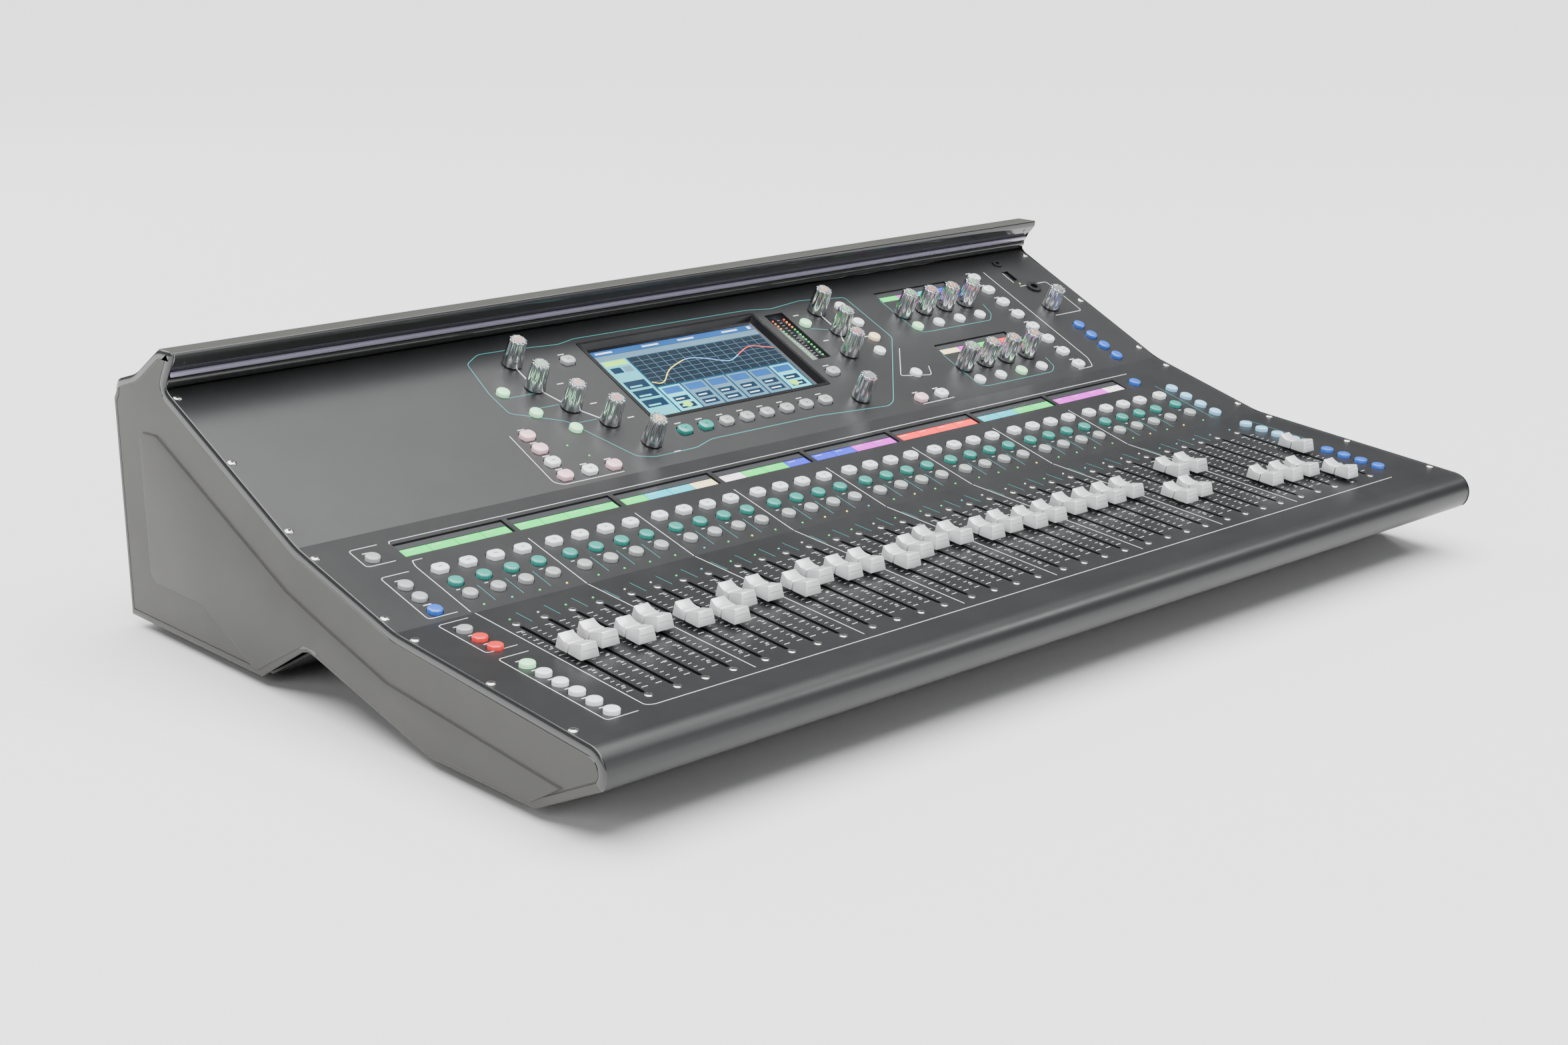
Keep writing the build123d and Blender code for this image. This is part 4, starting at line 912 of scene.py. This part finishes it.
def screen_picture():
    """The touch display and the invented picture on it: a header, graph, side column and tiles."""
    plane = facet("upper")
    glass = -4.1
    bm = bmesh.new()
    x = (SCREEN_LOW[0] + SCREEN_HIGH[0]) / 2
    y = (SCREEN_LOW[1] + SCREEN_HIGH[1]) / 2
    stamp(bm, stencil(block(162, 91, -6.0, -4.2)), on(plane, x, y), 0)

    def area(left, bottom, right, top, look, layer=1):
        patch(bm, plane, screen_point(left, bottom), screen_point(right, top), glass + 0.03 * layer, look)

    area(0, 0, 1, 1, 1, 0)
    area(0, 0.93, 1, 1, 2)
    area(0, 0.85, 1, 0.925, 3)
    area(0, 0, 0.155, 0.85, 4)
    area(0.01, 0.77, 0.145, 0.84, 5, 2)
    area(0.02, 0.66, 0.08, 0.74, 6, 2)
    area(0.09, 0.66, 0.14, 0.74, 3, 2)
    for row in range(3):
        area(0.015, 0.42 - row * 0.14, 0.14, 0.53 - row * 0.14, 6, 2)
        area(0.03, 0.44 - row * 0.14, 0.10, 0.46 - row * 0.14, 8, 3)
    area(0.165, 0.40, 0.99, 0.84, 7)
    for k in range(1, 14):
        t = 0.165 + 0.825 * k / 14
        area(t - 0.001, 0.40, t + 0.001, 0.84, 3, 2)
    for k in range(1, 7):
        t = 0.40 + 0.44 * k / 7
        area(0.165, t - 0.0015, 0.99, t + 0.0015, 3, 2)
    for k in range(6):
        left = 0.165 + 0.138 * k
        area(left, 0.02, left + 0.128, 0.38, 8 if k in (0, 5) else 3, 1)
        area(left + 0.012, 0.27, left + 0.116, 0.36, 2, 2)
        area(left + 0.02, 0.15, left + 0.11, 0.22, 6, 2)
        area(left + 0.02, 0.05, left + 0.11, 0.12, 6, 2)
        area(left + 0.03, 0.175, left + 0.08, 0.19, 9, 3)
        area(left + 0.03, 0.075, left + 0.09, 0.09, 9, 3)
    for left in (0.02, 0.30, 0.52, 0.80):
        area(left, 0.955, left + 0.10, 0.975, 9, 2)
    area(0.965, 0.945, 0.985, 0.985, 9, 2)
    knob_dot = stencil(turned([(0.01, 0.03), (3.6, 0.03), (3.6, 0.0)], 28))
    for spot in (screen_point(0.90, 0.10), screen_point(0.23, 0.10)):
        stamp(bm, knob_dot, on(plane, *spot, glass + 0.12), 5)
    for colour, start, end in ((10, 0.0, 0.34), (11, 0.34, 0.72), (12, 0.72, 1.0)):
        stamp(bm, graph_line(start, end), plane @ Matrix.Translation((0, 0, glass + 0.14)), colour)
    looks = [
        finish("display_glass", (0.006, 0.008, 0.012), 0.12, grain=500, coat=0.6),
        finish("picture_ground", (0.01, 0.05, 0.09), 0.15, grain=500, deep=0.7, glow=0.8),
        finish("picture_header", (0.02, 0.09, 0.28), 0.15, grain=60, deep=0.6, glow=1.1),
        finish("picture_slate", (0.10, 0.20, 0.27), 0.15, grain=60, deep=0.75, glow=0.9),
        finish("picture_teal", (0.08, 0.42, 0.48), 0.15, grain=60, deep=0.75, glow=1.0),
        finish("picture_lime", (0.30, 0.75, 0.10), 0.15, grain=60, deep=0.8, glow=1.2),
        finish("picture_dark", (0.01, 0.03, 0.06), 0.15, grain=60, deep=0.7, glow=0.5),
        finish("picture_graph", (0.012, 0.022, 0.035), 0.15, grain=60, deep=0.7, glow=0.5),
        finish("picture_cyan", (0.10, 0.55, 0.60), 0.15, grain=60, deep=0.75, glow=1.1),
        finish("picture_text", (0.75, 0.85, 0.88), 0.15, grain=60, glow=1.2),
        light("yellow"), finish("picture_blue", (0.15, 0.45, 0.95), 0.15, grain=60, glow=1.6), light("red"),
    ]
    return new_piece("display_picture", bm, "chassis", looks, ["touch_display"], 40)


def graph_line(start, end):
    """Part of the equaliser curve across the graph."""
    points = []
    for k in range(25):
        t = start + (end - start) * k / 24
        up = 0.60 - 0.17 * math.exp(-((t - 0.05) / 0.10) ** 2) + 0.09 * math.exp(-((t - 0.38) / 0.14) ** 2)
        up += 0.10 * math.exp(-((t - 0.86) / 0.12) ** 2) - 0.05 * math.exp(-((t - 0.62) / 0.08) ** 2)
        points.append(screen_point(0.165 + 0.825 * t, up))
    return drawn_lines([points], 0.7, radius=0.1)


def name_windows():
    """The channel name displays, soft rotary displays and the level meters; each name and rotary window has a
    painted highlight band for its recess's lit top wall.
    """
    bm = bmesh.new()
    plane = facet("middle")
    colours = ["green", "cyan", "cream", "pale", "blue", "magenta", "red", "yellow", "orange"]
    glass = 9
    width = BANK_SIZE * STRIP_PITCH
    for bank, x in enumerate(WINDOW_XS):
        stamp(bm, stencil(block(width - 0.3, 15.8, -7.4, -1.2, 0.1)), on(plane, x, 79.6), glass)
        # A flat grey band above the tiles: painted highlight standing for the lit top wall of the window's
        # recess.
        patch(bm, plane, (x - width / 2 + 0.6, 81.6), (x + width / 2 - 0.6, 87.0), -1.1, glass + 1)
        for k in range(BANK_SIZE):
            left = x - width / 2 + 0.9 + k * (width - 1.8) / BANK_SIZE
            right = left + (width - 1.8) / BANK_SIZE - 0.35
            look = colours.index(TILE_COLOURS[bank * BANK_SIZE + k])
            patch(bm, plane, (left, 72.3), (right, 80.8), -1.0, look)
            patch(bm, plane, (left + 3.0, 78.6), (left + 9.5, 79.2), -0.9, glass + 2)
    plane = facet("upper")
    x = sum(ROTARY_XS) / 4
    for row, tiles in ROTARY_TILES.items():
        y = ROTARY_ROWS[row] + 24.8
        stamp(bm, stencil(block(80.8, 12.6, -7.4, -1.2, 0.1)), on(plane, x, y), glass)
        # Painted highlight of the recess's lit top wall, drawn as a flat grey band above the tiles.
        patch(bm, plane, (x - 39.5, y + 0.9), (x + 39.5, y + 5.8), -1.1, glass + 1)
        for k, look in enumerate(tiles):
            left = x - 39.5 + k * 19.8
            patch(bm, plane, (left, y - 5.8), (left + 19.4, y + 0.3), -1.0, colours.index(look))
    stamp(bm, stencil(block(18.3, 60.2, -7.4, -1.2, 0.1)), on(plane, 91.6, 107.2), glass)
    lamp = stencil(turned([(0.01, 0.5), (0.6, 0.42), (0.85, 0.1), (0.85, -0.2)], 12))
    for k in range(15):
        for x in (86.0, 97.5):
            look = 6 if k == 14 else 8 if k > 10 else 0
            stamp(bm, lamp, on(plane, x, 82.5 + k * 3.4, -1.2), look)
            patch(bm, plane, (90.4, 82.2 + k * 3.4), (92.8, 82.7 + k * 3.4), -1.15, glass + 2)
    looks = [light(c, 1.0) for c in colours]
    looks.append(finish("window_glass", (0.010, 0.011, 0.013), 0.14, grain=500, coat=0.5))
    # Finish of the painted highlight band that stands for each recess's lit top wall.
    looks.append(finish("recess_wall_highlight", (0.055, 0.058, 0.062), 0.25, grain=500, coat=0.3))
    looks.append(print_white())
    return new_piece("name_displays", bm, "chassis", looks, ["strip_displays"], 40)


# ------------------------------------------------------------------ printing
def fader_scales():
    """The tick marks beside every slot."""
    bm = bmesh.new()
    plane = facet("lower")
    short = stencil(block(2.6, 0.45, -0.01, 0.05))
    long = stencil(block(4.2, 0.55, -0.01, 0.05))
    for x in KEY_XS:
        for k in range(21):
            y = SLOT_CENTRE_Y - 50 + 5 * k
            mesh = long if k % 4 == 0 else short
            for side in (-1, 1):
                stamp(bm, mesh, on(plane, x + side * 5.2, y))
    return new_piece("fader_scales", bm, "chassis", [print_white()])


def scale_numbers():
    """Plain numbers down each fader's scale."""
    font_curve = bpy.data.curves.new("number", "FONT")
    font_curve.size = 2.5
    font_curve.align_x = "RIGHT"
    font_curve.align_y = "CENTER"
    font_curve.resolution_u = 2
    holder = bpy.data.objects.new("number", font_curve)
    bpy.context.scene.collection.objects.link(holder)
    meshes = []
    for word in ("10", "5", "0", "5", "10", "20", "30", "40"):
        font_curve.body = word
        bpy.context.view_layer.update()
        drawn = holder.evaluated_get(bpy.context.evaluated_depsgraph_get())
        meshes.append(bpy.data.meshes.new_from_object(drawn))
    bpy.data.objects.remove(holder)
    bm = bmesh.new()
    plane = facet("lower")
    for x in KEY_XS:
        for k, mesh in enumerate(meshes):
            stamp(bm, mesh, on(plane, x - 3.0, SLOT_CENTRE_Y + 48 - 13 * k, 0.05))
    return new_piece("scale_numbers", bm, "chassis", [print_white()])


def printed_lines():
    """The white and teal lines that group the controls."""
    teal = [
        [(-187, 140.7), (-173, 148.9), (-148.2, 148.4), (-106.5, 145.2), (-90.8, 148.5), (73.3, 147.3),
         (94.7, 144), (128.1, 148), (171.2, 142.6), (172.9, 85.5), (111.6, 15.2), (103.2, 11.3),
         (36.3, 16.8), (-64, 16.8),
         (-80.7, 11.7), (-117.6, 11.2), (-130.7, 15.8), (-156.2, 64), (-190.7, 82.4), (-191.7, 105.6)],
    ]
    upper_teal = [
        [(200.4, 131.2), (201.9, 90.5), (207, 84), (282.5, 83.5), (290.8, 91), (293.6, 104)],
        [(200.4, 55), (201.7, 13), (206.9, 9.5), (282.1, 9.5), (290.3, 15), (292.1, 27.1)],
        [(-181.9, 98), (-155, 98)], [(-172.3, 82), (-150, 82)], [(-154.7, 60), (-133, 60)],
        [(110, 113), (124, 108)],
    ]
    upper_white = [
        [(332, 143.6), (332, 16), (327, 5.6), (310, 5.6)], [(134, 5.2), (167, 5.2)],
        [(168, 71), (142, 40.5), (170, 34.6), (176, 45)], [(352, 118), (384, 118), (384, 74), (352, 74)],
        [(-205.5, 60), (-205.5, 8), (-200, 4), (-150, 4)], [(350, 138), (350, 124)],
    ]
    links = [
        [(-154.8, 132.7), (-155.2, 103.8), (-142.9, 77), (-125.4, 54.8)],
        [(132.2, 131.7), (132, 103.7), (119.8, 76.8)],
    ]
    bank_lines = []
    lower_lines = []
    for x in WINDOW_XS[1:]:
        left = x - 2 * STRIP_PITCH - BANK_GAP / 2
        bank_lines.append([(left, 60.9), (left, 0.5)])
        lower_lines.append([(left, 179.5), (left, 27.5)])
    middle_white = bank_lines + [
        [(-346.5, 88.5), (-345.5, 91.5), (346, 91.5)], [(-345, 66), (-347, 60), (-347, 2)],
        [(-345, 66), (-338, 66)],
        [(-354, 91), (-374, 91), (-374, 70), (-354, 70)], [(-354, 56), (-374, 56), (-374, 5), (-354, 5)],
    ]
    lower_white = lower_lines + [
        [(-353, 176), (-374, 176), (-374, 128), (-353, 128)],
        [(-353, 117.5), (-374, 117.5), (-374, 20), (-353, 20)],
        [(-345.5, 179.5), (-345.5, 24), (-341, 21.5), (349, 21.5)],
    ]
    middle_teal = []
    for i, x in enumerate(STRIP_XS):
        if i % BANK_SIZE:
            middle_teal.append([(x - STRIP_PITCH / 2, 26), (x - STRIP_PITCH / 2, 7)])
    middle_teal.append([(RIGHT_X - 9, 66), (RIGHT_X - 9, 6)])
    lower_teal = [[(x - STRIP_PITCH / 2, 167), (x - STRIP_PITCH / 2, 151)] for x in STRIP_XS]
    lower_teal.append([(RIGHT_X + 12, 168), (RIGHT_X + 12, 110), (RIGHT_X - 6, 106)])
    bm = bmesh.new()
    for plane, paths, width, look in (
        ("upper", teal, 0.6, 1), ("upper", upper_teal, 0.5, 1), ("upper", upper_white, 0.55, 0),
        ("upper", links, 1.1, 0), ("middle", middle_white, 0.55, 0), ("lower", lower_white, 0.55, 0),
        ("middle", middle_teal, 0.35, 1), ("lower", lower_teal, 0.35, 1),
    ):
        mesh = drawn_lines(paths, width, paths is teal)
        stamp(bm, mesh, facet(plane) @ Matrix.Translation((0, 0, 0.03)), look)
    return new_piece("printed_lines", bm, "chassis", [print_white(), print_teal()])


def legend_bars():
    """Short plain bars where small legends stand."""
    bm = bmesh.new()
    bar_mesh = stencil(block(5.4, 0.9, -0.01, 0.05))
    small = stencil(block(2.6, 0.7, -0.01, 0.05))
    spots = {
        "upper": [(x, y + 8.6) for x, y, _ in SCREEN_KEYS] + [(x, y + 7.6) for x, y, _ in SOFT_KEYS]
        + [(-134, 132), (-134, 103), (-124, 76.5), (-107, 55), (110, 131), (112, 96), (-98, 12), (150, 92)],
        "middle": [(x, 42.5) for x in (LEFT_X,)] + [(LEFT_X, 49), (LEFT_X, 84.5), (LEFT_X, 19)],
        "lower": [(x, y + 7.4) for x, y, _ in LOWER_KEYS if x < 0],
    }
    for name, places in spots.items():
        for x, y in places:
            stamp(bm, bar_mesh, on(facet(name), x, y))
    for x in KEY_XS:
        stamp(bm, small, on(facet("middle"), x - 3.4, 26.2))
    return new_piece("legend_bars", bm, "chassis", [print_white()])


# ------------------------------------------------------------------ rear and trim
def rear_trim():
    """Latches and corner screws on the rear connectors."""
    plane = rear_face()
    bm = bmesh.new()
    screw = stencil(dome_screw(1.7, 0.7))
    latch = stencil(block(7.0, 4.2, 0.0, 1.4, 0.5))
    low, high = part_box("xlr_sockets")
    first_x = low.x / MM + 13
    last_x = high.x / MM - 13
    first_z = low.z / MM + 15.5
    last_z = high.z / MM - 15.5
    for row in range(3):
        z = first_z + (last_z - first_z) * row / 2
        for k in range(16):
            x = first_x + (last_x - first_x) * k / 15
            for dx, dz in ((-10.4, 12.8), (10.4, -12.8)):
                stamp(bm, screw, on(plane, -x + dx, z + dz, 2.0), 0)
            if row:
                stamp(bm, latch, on(plane, -x, z + 12.2, 2.0), 1)
    steel = finish("rear_screw", (0.5, 0.5, 0.5), 0.3, 1.0, 900)
    tab = finish("latch_tab", (0.35, 0.35, 0.36), 0.35, 1.0, 900)
    # Near-black finish of the latch tabs; the panel screws use the same finish as painted shade in their hex
    # sockets.
    dark = finish("latch_black_and_socket_shade", (0.01, 0.01, 0.01), 0.6, grain=900)
    return new_piece("rear_trim", bm, "chassis", [steel, dark, tab])


def panel_screw_heads():
    """Polished heads on the panel's edge screws and the small ones at the slots, whose dark centres are
    painted shade in their hex sockets.
    """
    bm = bmesh.new()
    edge = stencil(dome_screw(settings().screw_radius / MM, 1.0))
    slot_head = stencil(dome_screw(2.5, 0.55))
    x = PANEL_HALF - 3.35
    rows = {"upper": (156.5, 86.2, 15.7), "middle": (91.3, 16.0), "lower": (165.4, 92.7, 20.0)}
    for plane, ys in rows.items():
        for y in ys:
            for side in (-1, 1):
                stamp(bm, edge, on(facet(plane), side * x, y, 0.01))
    for key_x in KEY_XS:
        for y in (SLOT_CENTRE_Y - 60, SLOT_CENTRE_Y + 60):
            stamp(bm, slot_head, on(facet("lower"), key_x, y, 0.01))
    steel = finish("screw_steel", (0.72, 0.72, 0.70), 0.24, 1.0, 900)
    # Near-black finish: painted shade in the hex sockets of these screws.
    dark = finish("latch_black_and_socket_shade", (0.01, 0.01, 0.01), 0.6, grain=900)
    return new_piece("screw_heads", bm, "chassis", [steel, dark], ["panel_screws"])


def dress_nodes():
    """Gives every carried-over part of the body its finish."""
    looks = {
        "control_panel": panel_paint(),
        "base_tray": finish("tray_paint", (0.022, 0.022, 0.023), 0.42, grain=2200, bump=0.2, dust=0.02),
        "rear_panel": finish("rear_paint", (0.020, 0.020, 0.021), 0.45, grain=2200, bump=0.2, dust=0.02),
        "screen_surround": finish("bezel_plastic", (0.012, 0.012, 0.013), 0.22, grain=900, coat=0.3),
        "fader_tracks": finish("track_steel", (0.30, 0.30, 0.31), 0.4, 1.0, 900),
        "circuit_boards": finish("board_resin", (0.015, 0.09, 0.04), 0.45, grain=300, bump=0.2),
        "power_supply": finish("supply_steel", (0.5, 0.5, 0.51), 0.35, 1.0, 400, stretch=(1, 12, 1)),
        "xlr_sockets": finish("connector_metal", (0.06, 0.06, 0.062), 0.36, 0.8, 900, 0.1),
        "rear_sockets": finish("socket_plastic", (0.02, 0.02, 0.021), 0.4, grain=900, bump=0.2),
        "panel_sockets": finish("socket_ring", (0.05, 0.05, 0.052), 0.3, 0.6, 900, 0.1),
        "rubber_feet": finish("foot_rubber", (0.016, 0.016, 0.016), 0.75, grain=600, bump=0.6),
        "power_switch": finish("rocker_plastic", (0.02, 0.02, 0.02), 0.25, grain=900, coat=0.3),
    }
    for name, look in looks.items():
        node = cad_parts[name]
        node.data.materials.clear()
        node.data.materials.append(look)


# ------------------------------------------------------------------ stage
WORLD_LIGHT = 0.14
BACKDROP_LIGHT = 2.4
SUN_STRENGTH = 8.6
SUN_SPREAD = 75
LAMPS = [
    # name, place, aim, size in metres, power in watts
    ("front_left", (-2.6, -1.0, 1.3), (0, 0, 0.1), 1.2, 22),
    ("front_low", (0.6, -2.8, 0.9), (0, -0.1, 0.05), 1.4, 22),
    ("streak", (2.6, -1.5, 2.4), (0.1, -0.25, 0.05), 0.5, 30),
    ("rear", (-0.6, 2.8, 1.9), (0, 0, 0.1), 1.8, 36),
]
CAMERA_PLACE = (-1.06386, -1.12156, 0.48964)
CAMERA_AZIMUTH = -42.279
CAMERA_ELEVATION = 15.994
CAMERA_ROLL = -0.196
CAMERA_LENS = 52.852


def make_stage():
    """A pale floor, soft lamps and the camera."""
    bm = bmesh.new()
    bmesh.ops.create_grid(bm, x_segments=2, y_segments=2, size=30.0)
    mesh = bpy.data.meshes.new("floor")
    bm.to_mesh(mesh)
    bm.free()
    floor = bpy.data.objects.new("floor", mesh)
    bpy.context.scene.collection.objects.link(floor)
    mesh.materials.append(finish("studio_floor", (0.86, 0.86, 0.86), 0.65, grain=40, deep=0.99, spread=0.02))
    world = bpy.data.worlds.new("studio")
    bpy.context.scene.world = world
    world.use_nodes = True
    tree = world.node_tree
    shown = tree.nodes["Background"]
    shown.inputs[1].default_value = WORLD_LIGHT
    backdrop = tree.nodes.new("ShaderNodeBackground")
    backdrop.inputs[1].default_value = BACKDROP_LIGHT
    for node in (shown, backdrop):
        node.inputs[0].default_value = (1.0, 1.0, 1.0, 1.0)
    seen = tree.nodes.new("ShaderNodeLightPath")
    mix = tree.nodes.new("ShaderNodeMixShader")
    tree.links.new(seen.outputs["Is Camera Ray"], mix.inputs[0])
    tree.links.new(shown.outputs[0], mix.inputs[1])
    tree.links.new(backdrop.outputs[0], mix.inputs[2])
    tree.links.new(mix.outputs[0], tree.nodes["World Output"].inputs["Surface"])
    ceiling = bpy.data.lights.new("ceiling", "SUN")
    ceiling.energy = SUN_STRENGTH
    ceiling.angle = math.radians(SUN_SPREAD)
    holder = bpy.data.objects.new("ceiling", ceiling)
    bpy.context.scene.collection.objects.link(holder)
    holder.location = (0, 0, 3)
    for name, place, aim, size, power in LAMPS:
        lamp = bpy.data.lights.new(name, "AREA")
        lamp.energy = power
        lamp.size = size
        holder = bpy.data.objects.new(name, lamp)
        bpy.context.scene.collection.objects.link(holder)
        holder.location = place
        holder.rotation_mode = "QUATERNION"
        holder.rotation_quaternion = (Vector(aim) - Vector(place)).to_track_quat("-Z", "Y")
    make_camera()


def make_camera():
    """The camera at the standing operator's left."""
    azimuth = math.radians(CAMERA_AZIMUTH)
    elevation = math.radians(CAMERA_ELEVATION)
    roll = math.radians(CAMERA_ROLL)
    back = Vector((math.sin(azimuth) * math.cos(elevation), -math.cos(azimuth) * math.cos(elevation),
                   math.sin(elevation)))
    right = Vector((0, 0, 1)).cross(back).normalized()
    up = back.cross(right)
    turned_right = right * math.cos(roll) + up * math.sin(roll)
    turned_up = up * math.cos(roll) - right * math.sin(roll)
    camera = bpy.data.cameras.new("camera")
    camera.lens = CAMERA_LENS
    camera.sensor_width = 36.0
    camera.clip_start = 0.05
    camera.clip_end = 60.0
    holder = bpy.data.objects.new("camera", camera)
    bpy.context.scene.collection.objects.link(holder)
    place = Matrix((turned_right, turned_up, back)).transposed().to_4x4()
    place.translation = Vector(CAMERA_PLACE)
    holder.matrix_world = place
    bpy.context.scene.camera = holder


# ------------------------------------------------------------------ add-on
def length(name, description, default):
    """A length property."""
    return bpy.props.FloatProperty(name=name, description=description, default=default, unit="LENGTH")


def colour(name, description, default):
    """A colour property."""
    return bpy.props.FloatVectorProperty(
        name=name, description=description, default=default, subtype="COLOR", size=3, min=0.0, max=1.0)


class ConsoleSettings(bpy.types.PropertyGroup):
    """Sizes and colours that a user would change."""
    knob_base_radius: length("Knob base radius", "Radius at the foot of a knob", 0.0074)
    knob_top_radius: length("Knob top radius", "Radius at the top of a knob", 0.0064)
    cap_width: length("Fader cap width", "Width of a fader cap across the strip", 0.0107)
    round_key_radius: length("Round key radius", "Radius of a round key", 0.00475)
    screw_radius: length("Edge screw radius", "Radius of the heads along the panel's ends", 0.0029)
    panel_colour: colour("Panel", "Paint of the folded top panel", (0.014, 0.0145, 0.0155))
    cheek_colour: colour("Cheeks", "Paint of the end cheeks' side faces", (0.036, 0.0355, 0.031))
    print_colour: colour("Printing", "Ink of the scales and white lines", (0.72, 0.74, 0.74))
    accent_colour: colour("Accent printing", "Ink of the teal lines", (0.03, 0.30, 0.30))
    knob_colour: colour("Knobs", "Metal of the knobs", (0.86, 0.87, 0.89))
    cap_colour: colour("Fader caps", "Metal of the fader caps", (0.80, 0.81, 0.82))


class CONSOLE_OT_dress_body(bpy.types.Operator):
    """Gives every carried-over part of the body its finish"""
    bl_idname = "console.dress_body"
    bl_label = "Dress Body"

    def execute(self, context):
        dress_nodes()
        return {"FINISHED"}


class CONSOLE_OT_add_cheeks(bpy.types.Operator):
    """Makes both end cheeks"""
    bl_idname = "console.add_cheeks"
    bl_label = "Add Cheeks"

    def execute(self, context):
        cheek_piece("left_cheek", -1, "left_end_cheek")
        cheek_piece("right_cheek", 1, "right_end_cheek")
        return {"FINISHED"}


class CONSOLE_OT_add_hood(bpy.types.Operator):
    """Makes the hood and its lamp cover"""
    bl_idname = "console.add_hood"
    bl_label = "Add Hood"

    def execute(self, context):
        hood_piece()
        light_strip()
        return {"FINISHED"}


class CONSOLE_OT_add_faders(bpy.types.Operator):
    """Makes every fader cap"""
    bl_idname = "console.add_faders"
    bl_label = "Add Faders"

    def execute(self, context):
        fader_pieces()
        return {"FINISHED"}


class CONSOLE_OT_add_knobs(bpy.types.Operator):
    """Makes every knob"""
    bl_idname = "console.add_knobs"
    bl_label = "Add Knobs"

    def execute(self, context):
        for name, place in KNOB_PLACES.items():
            knob_piece(name, place)
        return {"FINISHED"}


class CONSOLE_OT_add_keys(bpy.types.Operator):
    """Makes every bank of keys"""
    bl_idname = "console.add_keys"
    bl_label = "Add Keys"

    def execute(self, context):
        key_pieces()
        return {"FINISHED"}


class CONSOLE_OT_add_displays(bpy.types.Operator):
    """Makes the touch display and the name displays"""
    bl_idname = "console.add_displays"
    bl_label = "Add Displays"

    def execute(self, context):
        screen_picture()
        name_windows()
        return {"FINISHED"}


class CONSOLE_OT_add_printing(bpy.types.Operator):
    """Makes the scales, numbers, lines and legends"""
    bl_idname = "console.add_printing"
    bl_label = "Add Printing"

    def execute(self, context):
        fader_scales()
        scale_numbers()
        printed_lines()
        legend_bars()
        return {"FINISHED"}


class CONSOLE_OT_add_trim(bpy.types.Operator):
    """Makes the screws, indicator lights and rear trim"""
    bl_idname = "console.add_trim"
    bl_label = "Add Trim"

    def execute(self, context):
        panel_screw_heads()
        indicator_piece()
        rear_trim()
        return {"FINISHED"}


class CONSOLE_OT_set_stage(bpy.types.Operator):
    """Makes the floor, lamps and camera"""
    bl_idname = "console.set_stage"
    bl_label = "Set Stage"

    def execute(self, context):
        make_stage()
        return {"FINISHED"}


OPERATORS = [
    CONSOLE_OT_dress_body, CONSOLE_OT_add_cheeks, CONSOLE_OT_add_hood, CONSOLE_OT_add_faders,
    CONSOLE_OT_add_knobs, CONSOLE_OT_add_keys, CONSOLE_OT_add_displays, CONSOLE_OT_add_printing,
    CONSOLE_OT_add_trim, CONSOLE_OT_set_stage,
]


class CONSOLE_PT_panel(bpy.types.Panel):
    """Lists the settings and the steps that dress the console"""
    bl_label = "Console"
    bl_space_type = "VIEW_3D"
    bl_region_type = "UI"
    bl_category = "Console"

    def draw(self, context):
        layout = self.layout
        for name in ConsoleSettings.__annotations__:
            layout.prop(context.scene.console_settings, name)
        for operator in OPERATORS:
            layout.operator(operator.bl_idname)


def register():
    for item in (ConsoleSettings, *OPERATORS, CONSOLE_PT_panel):
        bpy.utils.register_class(item)
    bpy.types.Scene.console_settings = bpy.props.PointerProperty(type=ConsoleSettings)


def unregister():
    del bpy.types.Scene.console_settings
    for item in (CONSOLE_PT_panel, *reversed(OPERATORS), ConsoleSettings):
        bpy.utils.unregister_class(item)


def main():
    """Runs every step in order."""
    register()
    for operator in OPERATORS:
        group, name = operator.bl_idname.split(".")
        getattr(getattr(bpy.ops, group), name)()


if __name__ == "__main__":
    main()
